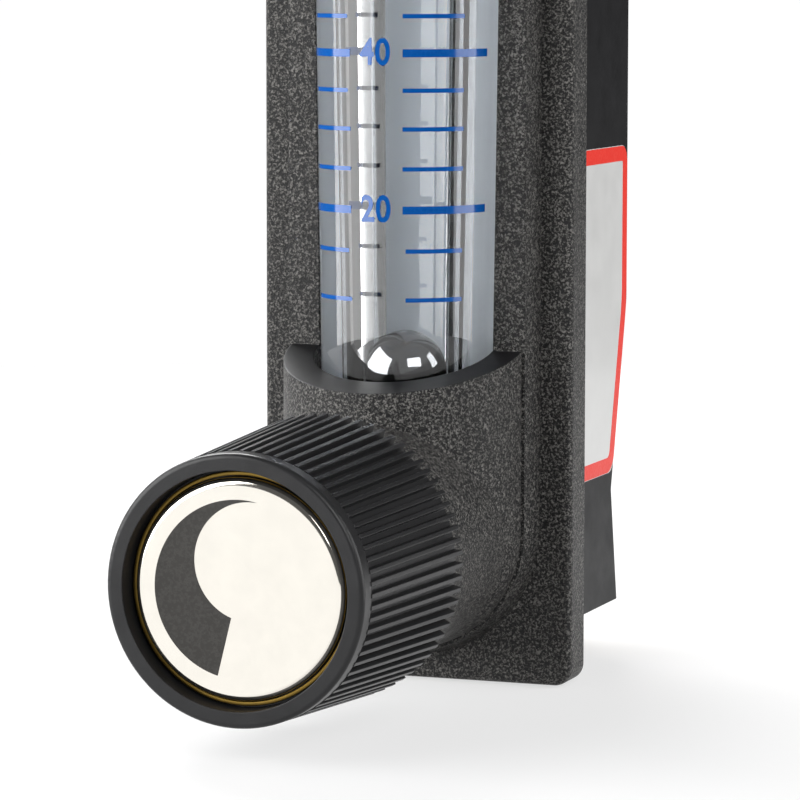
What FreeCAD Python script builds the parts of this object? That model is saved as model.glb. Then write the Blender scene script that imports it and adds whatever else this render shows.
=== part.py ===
"""Panel-mounted oxygen flowmeter, modelled in millimetres.

The origin is the middle of the bottom edge of the bezel's rear (panel) face.
X runs across the bezel, +Y runs back into the panel and +Z runs up the tube.
"""
import FreeCAD, Part
import math
import os
import Sketcher
from FreeCAD import Vector

# Driving sizes

SIZES = [
    # Bezel: flange, raised pad, half-round collars and valve boss
    ("flange_width", 25.4),
    ("flange_height", 122.2),
    ("flange_thickness", 3.4),
    ("flange_corner", 1.4),
    ("flange_edge_round", 0.5),
    ("pad_height", 2.4),
    ("pad_margin", 2.5),
    ("pad_draft", 12.0),
    ("collar_inset", 0.75),
    ("ledge_height", 26.2),
    ("ledge_slope", 0.28),
    ("valve_height", 12.2),
    ("boss_inset", 0.35),
    ("boss_front", 21.9),
    ("boss_edge_round", 0.4),
    ("boss_wall", 2.0),
    ("window_gap", 0.6),
    ("neck_gap", 0.4),
    ("block_gap", 0.3),
    ("bush_head_gap", 0.45),
    ("case_recess", 0.8),
    # Clear flow body
    ("slab_margin", 3.1),
    ("slab_depth", 10.0),
    ("slab_end_inset", 6.0),
    ("collar_band_low", 3.1),
    ("collar_band_top", 1.8),
    ("tube_top_inset", 11.2),
    ("boss_band", 2.1),
    ("block_front", 14.0),
    ("bore_low_radius", 3.25),
    ("bore_top_radius", 4.25),
    ("riser_radius", 1.6),
    ("outlet_passage_wall", 1.2),
    ("screw_hole_room", 0.5),
    ("core_screw_gap", 1.8),
    ("core_end_inset", 19.5),
    ("core_front", 0.2),
    # Float, its seat and its stop
    ("ball_radius", 3.175),
    ("seat_top", 22.2),
    ("seat_length", 3.0),
    ("seat_hole_radius", 2.0),
    ("seat_lip_radius", 2.2),
    ("seat_lip_depth", 0.5),
    ("seat_ledge", 0.35),
    ("stop_inset", 24.2),
    ("stop_thickness", 1.0),
    ("stop_rim_width", 0.8),
    ("stop_bar_width", 1.0),
    ("stop_bar_overlap", 0.3),
    # Top plug
    ("plug_length", 2.6),
    ("plug_slot_width", 1.0),
    ("plug_slot_depth", 0.9),
    ("plug_groove_height", 0.6),
    ("plug_groove_width", 1.2),
    ("plug_groove_depth", 1.1),
    ("plug_ring_section", 0.52),
    ("counterbore_ledge", 0.45),
    # Clearances between seated pieces
    ("fit_gap", 0.05),
    ("close_gap", 0.02),
    ("hole_clearance", 0.15),
    ("strip_clearance", 0.1),
    ("overcut", 1.0),
    # Rear case
    ("case_margin", 1.5),
    ("case_wall", 1.3),
    ("case_end_inset", 4.4),
    ("case_depth", 16.7),
    ("case_waist_depth", 12.8),
    ("case_waist_height", 13.5),
    ("case_shoulder_height", 28.5),
    ("case_foot_depth", 14.5),
    ("case_corner", 1.2),
    ("port_boss_inset", 0.2),
    # Threaded ports, plain bores at their minor size
    ("port_hole_radius", 4.37),
    ("port_depth", 8.0),
    ("port_shank_radius", 5.6),
    ("port_shank_depth", 7.0),
    ("port_flange_flats", 13.0),
    ("port_flange_thickness", 2.4),
    ("port_nose_radius", 6.3),
    ("port_nose_length", 6.0),
    ("port_passage_radius", 1.5),
    ("port_ring_radius", 3.6),
    ("port_ring_section", 0.6),
    # Needle valve
    ("bush_shank_radius", 4.0),
    ("bush_head_flats", 11.0),
    ("bush_head_length", 3.0),
    ("bush_end", 8.3),
    ("bush_thread_length", 5.0),
    ("bush_gland_radius", 2.55),
    ("bush_ring_radius", 4.65),
    ("bush_ring_section", 0.6),
    ("chamber_radius", 2.6),
    ("chamber_end", 3.0),
    ("valve_seat_length", 2.0),
    ("orifice_radius", 0.8),
    ("orifice_mouth_radius", 1.2),
    ("orifice_mouth_depth", 0.6),
    ("stem_radius", 2.0),
    ("stem_collar_radius", 2.4),
    ("stem_collar_front", 6.0),
    ("stem_collar_length", 1.0),
    ("stem_nose_radius", 1.5),
    ("needle_tip_radius", 0.3),
    ("needle_tip_depth", 0.9),
    ("needle_gap", 0.1),
    ("needle_shoulder", 1.2),
    ("stem_neck_length", 1.0),
    ("stem_groove_radius", 1.2),
    ("stem_groove_width", 1.5),
    ("stem_groove_front", 16.4),
    ("stem_end", 35.6),
    ("stem_ring_section", 0.6),
    # Knob
    ("knob_front", 40.5),
    ("knob_length", 17.8),
    ("knob_ring_radius", 9.7),
    ("knob_ring_length", 1.5),
    ("knob_ring_round", 0.35),
    ("knob_root_front_radius", 9.3),
    ("knob_root_back_radius", 10.1),
    ("knob_tip_front_radius", 9.75),
    ("knob_tip_back_radius", 10.65),
    ("knurl_count", 72),
    ("knurl_base_share", 0.62),
    ("knurl_tip_share", 0.34),
    ("knurl_root_depth", 0.4),
    ("knob_skirt_radius", 8.4),
    ("knob_hub_radius", 4.2),
    ("knob_hub_inset", 1.5),
    ("knob_recess_radius", 8.5),
    ("knob_recess_depth", 2.2),
    ("disc_radius", 7.9),
    ("disc_thickness", 1.3),
    ("disc_edge_round", 1.1),
    ("screw_head_radius", 2.2),
    ("screw_head_length", 1.1),
    ("screw_shank_radius", 1.0),
    ("screw_length", 6.5),
    ("screw_end_room", 0.4),
    # Label, backing strip and case screws
    ("label_thickness", 0.08),
    ("label_bottom", 15.0),
    ("label_top", 41.2),
    ("label_front", 0.8),
    ("label_corner", 1.5),
    ("label_inset", 0.1),
    ("strip_thickness", 0.5),
    ("case_screw_inset", 2.3),
    ("case_screw_radius", 1.0),
    ("case_screw_head_radius", 1.9),
    ("case_screw_head_length", 1.3),
    ("case_screw_grip", 5.0),
    ("screw_post_radius", 2.2),
]

doc = FreeCAD.newDocument("oxygen_flowmeter")
sheet = doc.addObject("Spreadsheet::Sheet", "Sizes")
for row, (alias, value) in enumerate(SIZES, start=1):
    sheet.set(f"A{row}", alias)
    sheet.set(f"B{row}", str(value))
    sheet.setAlias(f"B{row}", alias)
doc.recompute()

# Places worked out from the driving sizes, as expressions

AXIS_Y = "(-Sizes.flange_thickness - Sizes.pad_height)"
PAD_RADIUS = "(Sizes.flange_width / 2 - Sizes.pad_margin)"
COLLAR_RADIUS = f"({PAD_RADIUS} - Sizes.collar_inset)"
BOSS_RADIUS = f"({COLLAR_RADIUS} - Sizes.boss_inset)"
BLOCK_RADIUS = f"({BOSS_RADIUS} - Sizes.boss_band)"
TUBE_LOW_RADIUS = f"({COLLAR_RADIUS} - Sizes.collar_band_low)"
TUBE_TOP_RADIUS = f"({COLLAR_RADIUS} - Sizes.collar_band_top)"
SLAB_HALF = "(Sizes.flange_width / 2 - Sizes.slab_margin)"
CASE_WIDTH = "(Sizes.flange_width - 2 * Sizes.case_margin)"
PORT_BOSS_RADIUS = "(Sizes.valve_height - Sizes.case_end_inset - Sizes.port_boss_inset)"
SCREW_OFFSET = f"({SLAB_HALF} - Sizes.case_screw_inset)"
CORE_HALF = f"({SCREW_OFFSET} - Sizes.core_screw_gap)"
STOP_HEIGHT = "(Sizes.flange_height - Sizes.stop_inset)"
TOP_CENTRE = "(Sizes.flange_height - Sizes.valve_height)"
UPPER_LEDGE = "(Sizes.flange_height - Sizes.ledge_height)"
TUBE_TOP = "(Sizes.flange_height - Sizes.tube_top_inset)"
SEAT_BASE = "(Sizes.seat_top - Sizes.seat_length)"
SEAT_RADIUS = "(Sizes.bore_low_radius + Sizes.seat_ledge)"
COUNTERBORE_RADIUS = "(Sizes.bore_top_radius + Sizes.counterbore_ledge)"
PLUG_BASE = f"({TUBE_TOP} - Sizes.plug_length)"
PORT_FLOOR = "(Sizes.slab_depth - Sizes.port_shank_depth)"
KNOB_BACK = "(Sizes.knob_front - Sizes.knob_length)"
HEAD_SEAT = "(Sizes.block_front + Sizes.block_gap + Sizes.boss_wall)"
BUSH_FRONT = f"({HEAD_SEAT} + Sizes.bush_head_length)"
KNURL_FRONT = "(Sizes.knob_front - Sizes.knob_ring_length)"
RING_SEAT_DEPTH = "(2 * Sizes.bush_ring_section + Sizes.fit_gap)"
MIDDLE_HEIGHT = "(Sizes.flange_height / 2)"
RECESS_FLOOR = "(Sizes.knob_front - Sizes.knob_recess_depth)"
VALVE_SEAT_BACK = "(-Sizes.chamber_end + Sizes.valve_seat_length)"


def size(alias):
    """A driving size as a number."""
    return float(sheet.get(alias))


# Helpers that build parametric features


def new_body(label):
    """A body whose label names its file."""
    body = doc.addObject("PartDesign::Body", label)
    body.Label = label
    return body


def origin_plane(body, role):
    """One of the body's own origin planes."""
    for feature in body.Origin.OriginFeatures:
        if feature.Role == role:
            return feature
    raise ValueError(role)


def new_sketch(body, role, name, right="0", up="0", out="0"):
    """A sketch on an origin plane, moved along the plane and off it by expressions."""
    sketch = body.newObject("Sketcher::SketchObject", name)
    sketch.AttachmentSupport = (origin_plane(body, role), [""])
    sketch.MapMode = "FlatFace"
    for key, expression in (("x", right), ("y", up), ("z", out)):
        if expression != "0":
            sketch.setExpression(f"AttachmentOffset.Base.{key}", expression)
    return sketch


def pin_point(sketch, geometry, place, x, y):
    """Hold a sketch point at the distances that two expressions give."""
    for kind, axis, expression in (("DistanceX", -2, x), ("DistanceY", -1, y)):
        if expression == "0":
            sketch.addConstraint(Sketcher.Constraint("PointOnObject", geometry, place, axis))
        else:
            index = sketch.addConstraint(
                Sketcher.Constraint(kind, -1, 1, geometry, place, 1.0 + geometry)
            )
            sketch.setExpression(f"Constraints[{index}]", expression)


def draw_polygon(sketch, points):
    """A closed outline of straight lines through points given as expressions."""
    count = len(points)
    start = sketch.GeometryCount
    turn = 2 * math.pi / count
    corners = [Vector(5 * math.cos(i * turn), 5 * math.sin(i * turn), 0) for i in range(count)]
    for i in range(count):
        sketch.addGeometry(Part.LineSegment(corners[i], corners[(i + 1) % count]), False)
    for i in range(count):
        following = start + (i + 1) % count
        sketch.addConstraint(Sketcher.Constraint("Coincident", start + i, 2, following, 1))
    for i, (x, y) in enumerate(points):
        pin_point(sketch, start + i, 1, x, y)


def draw_circle(sketch, x, y, radius):
    """A circle whose centre and radius are expressions."""
    index = sketch.addGeometry(Part.Circle(Vector(1, 1, 0), Vector(0, 0, 1), 3.0), False)
    pin_point(sketch, index, 3, x, y)
    rule = sketch.addConstraint(Sketcher.Constraint("Radius", index, 3.0))
    sketch.setExpression(f"Constraints[{rule}]", radius)


def draw_screw_pair(sketch, radius):
    """Two equal circles at the case screws' places."""
    draw_circle(sketch, SCREW_OFFSET, MIDDLE_HEIGHT, radius)
    draw_circle(sketch, f"-{SCREW_OFFSET}", MIDDLE_HEIGHT, radius)


def draw_hexagon(sketch, x, y, flats):
    """A hexagon of a width across flats, centred by expressions."""
    corner = f"({flats} / 2 / cos(30))"
    draw_polygon(sketch, [
        (f"{x} + {corner} * {math.cos(math.radians(60 * i)):.9f}",
         f"{y} + {corner} * {math.sin(math.radians(60 * i)):.9f}")
        for i in range(6)
    ])


def rectangle(x_low, x_high, y_low, y_high):
    """The corners of an upright rectangle."""
    return [(x_low, y_low), (x_high, y_low), (x_high, y_high), (x_low, y_high)]


def pad(body, sketch, length, back=False, middle=False, draft=None):
    """A pad of the sketch, with its length as an expression."""
    feature = body.newObject("PartDesign::Pad", sketch.Name + "_pad")
    feature.Profile = sketch
    feature.setExpression("Length", length)
    feature.Reversed = back
    if middle:
        feature.Midplane = True
    if draft:
        feature.setExpression("TaperAngle", draft)
    doc.recompute()
    return feature


def pocket(body, sketch, length, back=False, middle=False):
    """A pocket that must take material away."""
    before = body.Shape.Volume
    feature = body.newObject("PartDesign::Pocket", sketch.Name + "_pocket")
    feature.Profile = sketch
    feature.setExpression("Length", length)
    feature.Reversed = back
    if middle:
        feature.Midplane = True
    doc.recompute()
    if body.Shape.Volume > before - 1e-6:
        raise RuntimeError(f"{body.Label}: {sketch.Name} cuts nothing")
    return feature


def revolve(body, sketch, axis, cut=False):
    """A full turn of the sketch about its own axis, added or cut."""
    before = body.Shape.Volume if cut else 0.0
    kind = "PartDesign::Groove" if cut else "PartDesign::Revolution"
    feature = body.newObject(kind, sketch.Name + "_turn")
    feature.Profile = sketch
    feature.ReferenceAxis = (sketch, [axis])
    feature.Angle = 360.0
    doc.recompute()
    if cut and body.Shape.Volume > before - 1e-6:
        raise RuntimeError(f"{body.Label}: {sketch.Name} cuts nothing")
    return feature


def round_edges(body, radius, wanted):
    """A fillet on every edge of the body that the test wants."""
    return ease_edges(body, "PartDesign::Fillet", "Radius", radius, wanted)


def bevel_edges(body, width, wanted):
    """A chamfer on every edge of the body that the test wants."""
    return ease_edges(body, "PartDesign::Chamfer", "Size", width, wanted)


def ease_edges(body, kind, dimension, amount, wanted):
    """A fillet or chamfer on the edges that the test wants."""
    base = body.Tip
    names = [
        f"Edge{i}" for i, edge in enumerate(base.Shape.Edges, start=1) if wanted(edge)
    ]
    feature = body.newObject(kind, base.Name + "_eased")
    feature.Base = (base, names)
    feature.setExpression(dimension, amount)
    doc.recompute()
    return feature


def upright_turning(body, name, points, cut=False):
    """A turned form about the tube's axis; each point is (radius, height)."""
    sketch = new_sketch(body, "YZ_Plane", name, right=AXIS_Y)
    draw_polygon(sketch, points)
    return revolve(body, sketch, "V_Axis", cut)


def level_turning(body, name, height, points, cut=False):
    """A turned form about a line along Y; each point is (distance back, radius)."""
    sketch = new_sketch(body, "YZ_Plane", name, up=height)
    draw_polygon(sketch, points)
    return revolve(body, sketch, "H_Axis", cut)


def ring_section(right, up, half_width):
    """An eight-sided section round a point, each flat at the half width."""
    corner = f"({half_width} / cos(22.5))"
    return [
        (f"{right} + {corner} * {math.cos(math.radians(45 * i + 22.5)):.9f}",
         f"{up} + {corner} * {math.sin(math.radians(45 * i + 22.5)):.9f}")
        for i in range(8)
    ]


def level_seal(label, radius, section, height, back):
    """A seal ring about a line along Y."""
    body = new_body(label)
    level_turning(body, f"{label}_section", height, ring_section(back, radius, section))
    return body


def is_along(edge, direction):
    """Whether an edge is a straight line along a direction."""
    if len(edge.Vertexes) != 2 or edge.Length < 1e-3:
        return False
    span = edge.Vertexes[1].Point - edge.Vertexes[0].Point
    return abs(abs(span.dot(direction)) - edge.Length) < 1e-4


def on_rim(point, half_width, height, margin):
    """Whether a point lies near the flange's outer edge."""
    return (abs(point.x) > half_width - margin or point.z < margin
            or point.z > height - margin)


# Bezel


def build_bezel():
    """The moulded bezel: flange, raised pad, two half-round collars and the valve boss."""
    body = new_body("bezel")
    rise = f"(Sizes.ledge_slope * {COLLAR_RADIUS})"
    reach = f"(2 * {COLLAR_RADIUS})"
    lean = f"Sizes.ledge_slope * {reach}"
    collars = (
        ("low", "Sizes.valve_height", "Sizes.valve_height", "Sizes.ledge_height", 1),
        ("top", f"{UPPER_LEDGE} - {rise}", TOP_CENTRE, UPPER_LEDGE, -1),
    )
    for name, base, centre, ledge, turn in collars:
        collar = new_sketch(body, "XY_Plane", f"collar_{name}", out=base)
        draw_circle(collar, "0", AXIS_Y, COLLAR_RADIUS)
        pad(body, collar, f"Sizes.ledge_height - Sizes.valve_height + {rise}")
        dome = body.newObject("PartDesign::AdditiveSphere", f"dome_{name}")
        dome.AttachmentSupport = (origin_plane(body, "XY_Plane"), [""])
        dome.MapMode = "FlatFace"
        dome.setExpression("AttachmentOffset.Base.y", AXIS_Y)
        dome.setExpression("AttachmentOffset.Base.z", centre)
        dome.setExpression("Radius", COLLAR_RADIUS)
        doc.recompute()
        cut = new_sketch(body, "YZ_Plane", f"{name}_ledge", right=AXIS_Y, up=ledge)
        draw_polygon(cut, [
            (f"-{reach}", f"{-turn} * {lean}"),
            (reach, f"{turn} * {lean}"),
            (reach, f"{2 * turn} * {lean}"),
            (f"-{reach}", f"{2 * turn} * {lean}"),
        ])
        pocket(body, cut, "Sizes.flange_width", middle=True)
    trim = new_sketch(body, "XZ_Plane", "rear_trim", out="Sizes.flange_thickness / 2")
    draw_polygon(trim, rectangle("-Sizes.flange_width", "Sizes.flange_width", "-Sizes.overcut",
                                 "Sizes.flange_height + Sizes.overcut"))
    pocket(body, trim, f"{COLLAR_RADIUS} + Sizes.flange_thickness")

    middle = new_sketch(body, "XZ_Plane", "pad_middle", out="Sizes.flange_thickness")
    draw_polygon(middle, rectangle(f"-{PAD_RADIUS}", PAD_RADIUS, "Sizes.valve_height",
                                   TOP_CENTRE))
    pad(body, middle, "Sizes.pad_height", draft="-Sizes.pad_draft")
    for name, height in (("low", "Sizes.valve_height"), ("top", TOP_CENTRE)):
        end = new_sketch(body, "XZ_Plane", f"pad_{name}_end", out="Sizes.flange_thickness")
        draw_circle(end, "0", height, PAD_RADIUS)
        pad(body, end, "Sizes.pad_height", draft="-Sizes.pad_draft")

    flange = new_sketch(body, "XZ_Plane", "flange_outline")
    half = "Sizes.flange_width / 2"
    draw_polygon(flange, rectangle(f"-{half}", half, "0", "Sizes.flange_height"))
    pad(body, flange, "Sizes.flange_thickness")
    edge_x = size("flange_width") / 2
    round_edges(
        body, "Sizes.flange_corner",
        lambda e: is_along(e, Vector(0, 1, 0)) and e.BoundBox.DiagonalLength > 1
        and abs(abs(e.BoundBox.Center.x) - edge_x) < 1e-3,
    )
    front = -size("flange_thickness")
    margin = size("flange_corner") + 0.1
    round_edges(
        body, "Sizes.flange_edge_round",
        lambda e: abs(e.BoundBox.YMax - front) < 0.01 and abs(e.BoundBox.YMin - front) < 0.01
        and on_rim(e.CenterOfMass, edge_x, size("flange_height"), margin),
    )

    boss = new_sketch(body, "XZ_Plane", "valve_boss", out="Sizes.flange_thickness")
    draw_circle(boss, "0", "Sizes.valve_height", BOSS_RADIUS)
    pad(body, boss, "Sizes.boss_front - Sizes.flange_thickness")
    boss_front = -size("boss_front")
    round_edges(
        body, "Sizes.boss_edge_round", lambda e: abs(e.BoundBox.YMax - boss_front) < 0.01
    )

    low_half = f"({TUBE_LOW_RADIUS} + Sizes.window_gap)"
    top_half = f"({TUBE_TOP_RADIUS} + Sizes.window_gap)"
    hollow_low = "(Sizes.valve_height + Sizes.overcut)"
    hollow_top = f"({TUBE_TOP} + Sizes.block_gap)"
    window_top = f"({hollow_top} - Sizes.close_gap)"
    upright_turning(body, "tube_hollow", [
        ("0", hollow_low),
        (low_half, hollow_low),
        (top_half, hollow_top),
        ("0", hollow_top),
    ], cut=True)
    low_side = f"({TUBE_LOW_RADIUS} + Sizes.neck_gap)"
    top_side = f"({TUBE_TOP_RADIUS} + Sizes.neck_gap)"
    window = new_sketch(body, "XZ_Plane", "tube_window")
    draw_polygon(window, [(f"-{low_side}", hollow_low),
                          (low_side, hollow_low),
                          (top_side, window_top),
                          (f"-{top_side}", window_top)])
    pocket(body, window, f"-{AXIS_Y}", back=True)
    block = f"({BLOCK_RADIUS} + Sizes.block_gap)"
    head = "(Sizes.bush_head_flats / 2 / cos(30) + Sizes.bush_head_gap)"
    shank = "(Sizes.bush_shank_radius + Sizes.block_gap)"
    level_turning(body, "valve_hollow", "Sizes.valve_height", [
        ("0", "0"),
        ("0", block),
        ("-Sizes.block_front - Sizes.block_gap", block),
        ("-Sizes.block_front - Sizes.block_gap", shank),
        (f"-{HEAD_SEAT}", shank),
        (f"-{HEAD_SEAT}", head),
        ("-Sizes.boss_front - Sizes.overcut", head),
        ("-Sizes.boss_front - Sizes.overcut", "0"),
    ], cut=True)
    recess = new_sketch(body, "XZ_Plane", "case_recess")
    recess_half = f"({CASE_WIDTH} / 2 + Sizes.strip_clearance)"
    recess_low = "(Sizes.case_end_inset - Sizes.strip_clearance)"
    draw_polygon(recess, rectangle(f"-{recess_half}", recess_half, recess_low,
                                   f"(Sizes.flange_height - {recess_low})"))
    pocket(body, recess, "Sizes.case_recess", back=True)
    return body


# Clear flow body


def build_flow_body():
    """The clear moulded body: rear slab, tapered tube, valve block, bore and passages."""
    body = new_body("flow_body")
    slab = new_sketch(body, "XZ_Plane", "slab_outline", out="Sizes.case_recess")
    draw_polygon(slab, rectangle(f"-{SLAB_HALF}", SLAB_HALF, "Sizes.slab_end_inset",
                                 "Sizes.flange_height - Sizes.slab_end_inset"))
    pad(body, slab, "Sizes.case_recess + Sizes.slab_depth", back=True)
    neck = new_sketch(body, "XZ_Plane", "neck_outline")
    draw_polygon(neck, [(f"-{TUBE_LOW_RADIUS}", "Sizes.valve_height"),
                        (TUBE_LOW_RADIUS, "Sizes.valve_height"),
                        (TUBE_TOP_RADIUS, TUBE_TOP),
                        (f"-{TUBE_TOP_RADIUS}", TUBE_TOP)])
    pad(body, neck, f"-{AXIS_Y}")
    upright_turning(body, "tube_outside", [
        ("0", "Sizes.valve_height"),
        (TUBE_LOW_RADIUS, "Sizes.valve_height"),
        (TUBE_TOP_RADIUS, TUBE_TOP),
        ("0", TUBE_TOP),
    ])
    block = new_sketch(body, "XZ_Plane", "valve_block")
    draw_circle(block, "0", "Sizes.valve_height", BLOCK_RADIUS)
    pad(body, block, "Sizes.block_front")

    upright_turning(body, "tube_bore", [
        ("0", "Sizes.valve_height"),
        ("Sizes.riser_radius", "Sizes.valve_height"),
        ("Sizes.riser_radius", SEAT_BASE),
        (SEAT_RADIUS, SEAT_BASE),
        (SEAT_RADIUS, "Sizes.seat_top"),
        ("Sizes.bore_low_radius", "Sizes.seat_top"),
        ("Sizes.bore_top_radius", STOP_HEIGHT),
        (COUNTERBORE_RADIUS, STOP_HEIGHT),
        (COUNTERBORE_RADIUS, TUBE_TOP),
        ("0", TUBE_TOP),
    ], cut=True)
    ring_wall = "(Sizes.bush_ring_radius + Sizes.bush_ring_section + Sizes.fit_gap)"
    level_turning(body, "valve_bore", "Sizes.valve_height", [
        ("Sizes.slab_depth + Sizes.overcut", "0"),
        ("Sizes.slab_depth + Sizes.overcut", "Sizes.port_shank_radius"),
        (PORT_FLOOR, "Sizes.port_shank_radius"),
        (PORT_FLOOR, "Sizes.port_passage_radius"),
        (VALVE_SEAT_BACK, "Sizes.port_passage_radius"),
        (VALVE_SEAT_BACK, "Sizes.chamber_radius"),
        ("-Sizes.bush_end", "Sizes.chamber_radius"),
        ("-Sizes.bush_end", "Sizes.bush_shank_radius"),
        (f"-Sizes.block_front + {RING_SEAT_DEPTH}", "Sizes.bush_shank_radius"),
        (f"-Sizes.block_front + {RING_SEAT_DEPTH}", ring_wall),
        ("-Sizes.block_front - Sizes.overcut", ring_wall),
        ("-Sizes.block_front - Sizes.overcut", "0"),
    ], cut=True)
    level_turning(body, "outlet_bore", TOP_CENTRE, [
        ("Sizes.slab_depth + Sizes.overcut", "0"),
        ("Sizes.slab_depth + Sizes.overcut", "Sizes.port_shank_radius"),
        (PORT_FLOOR, "Sizes.port_shank_radius"),
        (PORT_FLOOR, "0"),
    ], cut=True)
    cross = new_sketch(body, "XZ_Plane", "outlet_passage", out=f"-{PORT_FLOOR}")
    passage_height = f"({PLUG_BASE} - Sizes.port_passage_radius - Sizes.outlet_passage_wall)"
    draw_circle(cross, "0", passage_height, "Sizes.port_passage_radius")
    pocket(body, cross, f"{PORT_FLOOR} - {AXIS_Y}", back=True)

    core = new_sketch(body, "XZ_Plane", "rear_core", out="-Sizes.core_front")
    draw_polygon(core, rectangle(f"-{CORE_HALF}", CORE_HALF, "Sizes.core_end_inset",
                                 "Sizes.flange_height - Sizes.core_end_inset"))
    pocket(body, core, "Sizes.slab_depth")
    screws = new_sketch(body, "XZ_Plane", "case_screw_holes", out="-Sizes.slab_depth")
    draw_screw_pair(screws, "Sizes.case_screw_radius + Sizes.fit_gap")
    pocket(body, screws, "Sizes.case_screw_grip + Sizes.screw_hole_room", back=True)
    return body


# Rear case


def case_profile(inset):
    """The case's outline from the side, drawn in by an inset: (distance back, height)."""
    low = f"(Sizes.case_end_inset + {inset})"
    high = f"(Sizes.flange_height - Sizes.case_end_inset - {inset})"
    return [
        ("-Sizes.case_recess", low),
        (f"Sizes.case_foot_depth - {inset}", low),
        (f"Sizes.case_waist_depth - {inset}", "Sizes.case_waist_height"),
        (f"Sizes.case_depth - {inset}", "Sizes.case_shoulder_height"),
        (f"Sizes.case_depth - {inset}", high),
        ("-Sizes.case_recess", high),
    ]


def build_rear_case():
    """The smooth rear shell: open at the front, with a flat boss round each port."""
    body = new_body("rear_case")
    outside = new_sketch(body, "YZ_Plane", "case_outside")
    draw_polygon(outside, case_profile("0"))
    pad(body, outside, CASE_WIDTH, middle=True)
    round_edges(
        body, "Sizes.case_corner",
        lambda e: e.BoundBox.YMin > 0.1 and not is_along(e, Vector(1, 0, 0)),
    )
    for name, height in (("inlet", "Sizes.valve_height"), ("outlet", TOP_CENTRE)):
        boss = new_sketch(body, "XZ_Plane", f"{name}_boss")
        draw_circle(boss, "0", height, PORT_BOSS_RADIUS)
        pad(body, boss, "Sizes.case_foot_depth", back=True)
    inside = new_sketch(body, "YZ_Plane", "case_inside")
    draw_polygon(inside, case_profile("Sizes.case_wall"))
    pocket(body, inside, f"{CASE_WIDTH} - 2 * Sizes.case_wall", middle=True)
    posts = new_sketch(body, "XZ_Plane", "screw_posts", out="-Sizes.slab_depth")
    draw_screw_pair(posts, "Sizes.screw_post_radius")
    pad(body, posts, "Sizes.case_depth - Sizes.slab_depth - Sizes.case_wall / 2", back=True)
    holes = new_sketch(body, "XZ_Plane", "rear_holes")
    draw_circle(holes, "0", "Sizes.valve_height", "Sizes.port_shank_radius + Sizes.hole_clearance")
    draw_circle(holes, "0", TOP_CENTRE, "Sizes.port_shank_radius + Sizes.hole_clearance")
    draw_screw_pair(holes, "Sizes.case_screw_radius + Sizes.hole_clearance")
    pocket(body, holes, "Sizes.case_depth + Sizes.overcut")
    return body


def build_side_label():
    """The blank sticker on the case's right side, following the case's rear edge."""
    body = new_body("side_label")
    inset = "(Sizes.case_corner + Sizes.label_inset)"
    slope = ("((Sizes.case_depth - Sizes.case_waist_depth)"
             " / (Sizes.case_shoulder_height - Sizes.case_waist_height))")
    low_back = (f"(Sizes.case_waist_depth - {inset}"
                f" + {slope} * (Sizes.label_bottom - Sizes.case_waist_height))")
    outline = new_sketch(body, "YZ_Plane", "label_outline", out=f"{CASE_WIDTH} / 2")
    draw_polygon(outline, [
        ("Sizes.label_front", "Sizes.label_bottom"),
        (low_back, "Sizes.label_bottom"),
        (f"Sizes.case_depth - {inset}", "Sizes.case_shoulder_height"),
        (f"Sizes.case_depth - {inset}", "Sizes.label_top"),
        ("Sizes.label_front", "Sizes.label_top"),
    ])
    pad(body, outline, "Sizes.label_thickness")
    round_edges(body, "Sizes.label_corner", lambda e: is_along(e, Vector(1, 0, 0)))
    return body


def build_backing_strip():
    """The pale strip in the slab's rear recess, close behind the bore."""
    body = new_body("backing_strip")
    half = f"({CORE_HALF} - Sizes.strip_clearance)"
    low = "(Sizes.core_end_inset + Sizes.strip_clearance)"
    outline = new_sketch(body, "XZ_Plane", "strip_outline",
                         out="-Sizes.core_front - Sizes.fit_gap")
    draw_polygon(outline, rectangle(f"-{half}", half, low, f"Sizes.flange_height - {low}"))
    pad(body, outline, "Sizes.strip_thickness", back=True)
    return body


# Ports


def build_adapter(label, height, seat):
    """A threaded brass port: shank in the slab, hexagon on the case, nose and bore."""
    body = new_body(label)
    foot = f"({PORT_FLOOR} + 2 * Sizes.port_ring_section)"
    shoulder = f"({seat} + Sizes.port_flange_thickness)"
    end = f"({shoulder} + Sizes.port_nose_length)"
    level_turning(body, f"{label}_outside", height, [
        (foot, "0"),
        (foot, "Sizes.port_shank_radius - Sizes.fit_gap"),
        (shoulder, "Sizes.port_shank_radius - Sizes.fit_gap"),
        (shoulder, "Sizes.port_nose_radius"),
        (end, "Sizes.port_nose_radius"),
        (end, "0"),
    ])
    flange = new_sketch(body, "XZ_Plane", f"{label}_hexagon", out=f"-{seat}")
    draw_hexagon(flange, "0", height, "Sizes.port_flange_flats")
    pad(body, flange, "Sizes.port_flange_thickness", back=True)
    level_turning(body, f"{label}_bore", height, [
        (f"{foot} - Sizes.overcut", "0"),
        (f"{foot} - Sizes.overcut", "Sizes.port_passage_radius"),
        (f"{end} - Sizes.port_depth", "Sizes.port_passage_radius"),
        (f"{end} - Sizes.port_depth", "Sizes.port_hole_radius"),
        (f"{end} + Sizes.overcut", "Sizes.port_hole_radius"),
        (f"{end} + Sizes.overcut", "0"),
    ], cut=True)
    return body


def build_inlet_adapter():
    """The lower port."""
    return build_adapter("inlet_adapter", "Sizes.valve_height", "Sizes.case_foot_depth")


def build_outlet_adapter():
    """The upper port."""
    return build_adapter("outlet_adapter", TOP_CENTRE, "Sizes.case_depth")


def build_inlet_ring():
    """The lower port's seal, at the bottom of its hole."""
    return level_seal("inlet_ring", "Sizes.port_ring_radius", "Sizes.port_ring_section",
                      "Sizes.valve_height", f"{PORT_FLOOR} + Sizes.port_ring_section")


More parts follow.
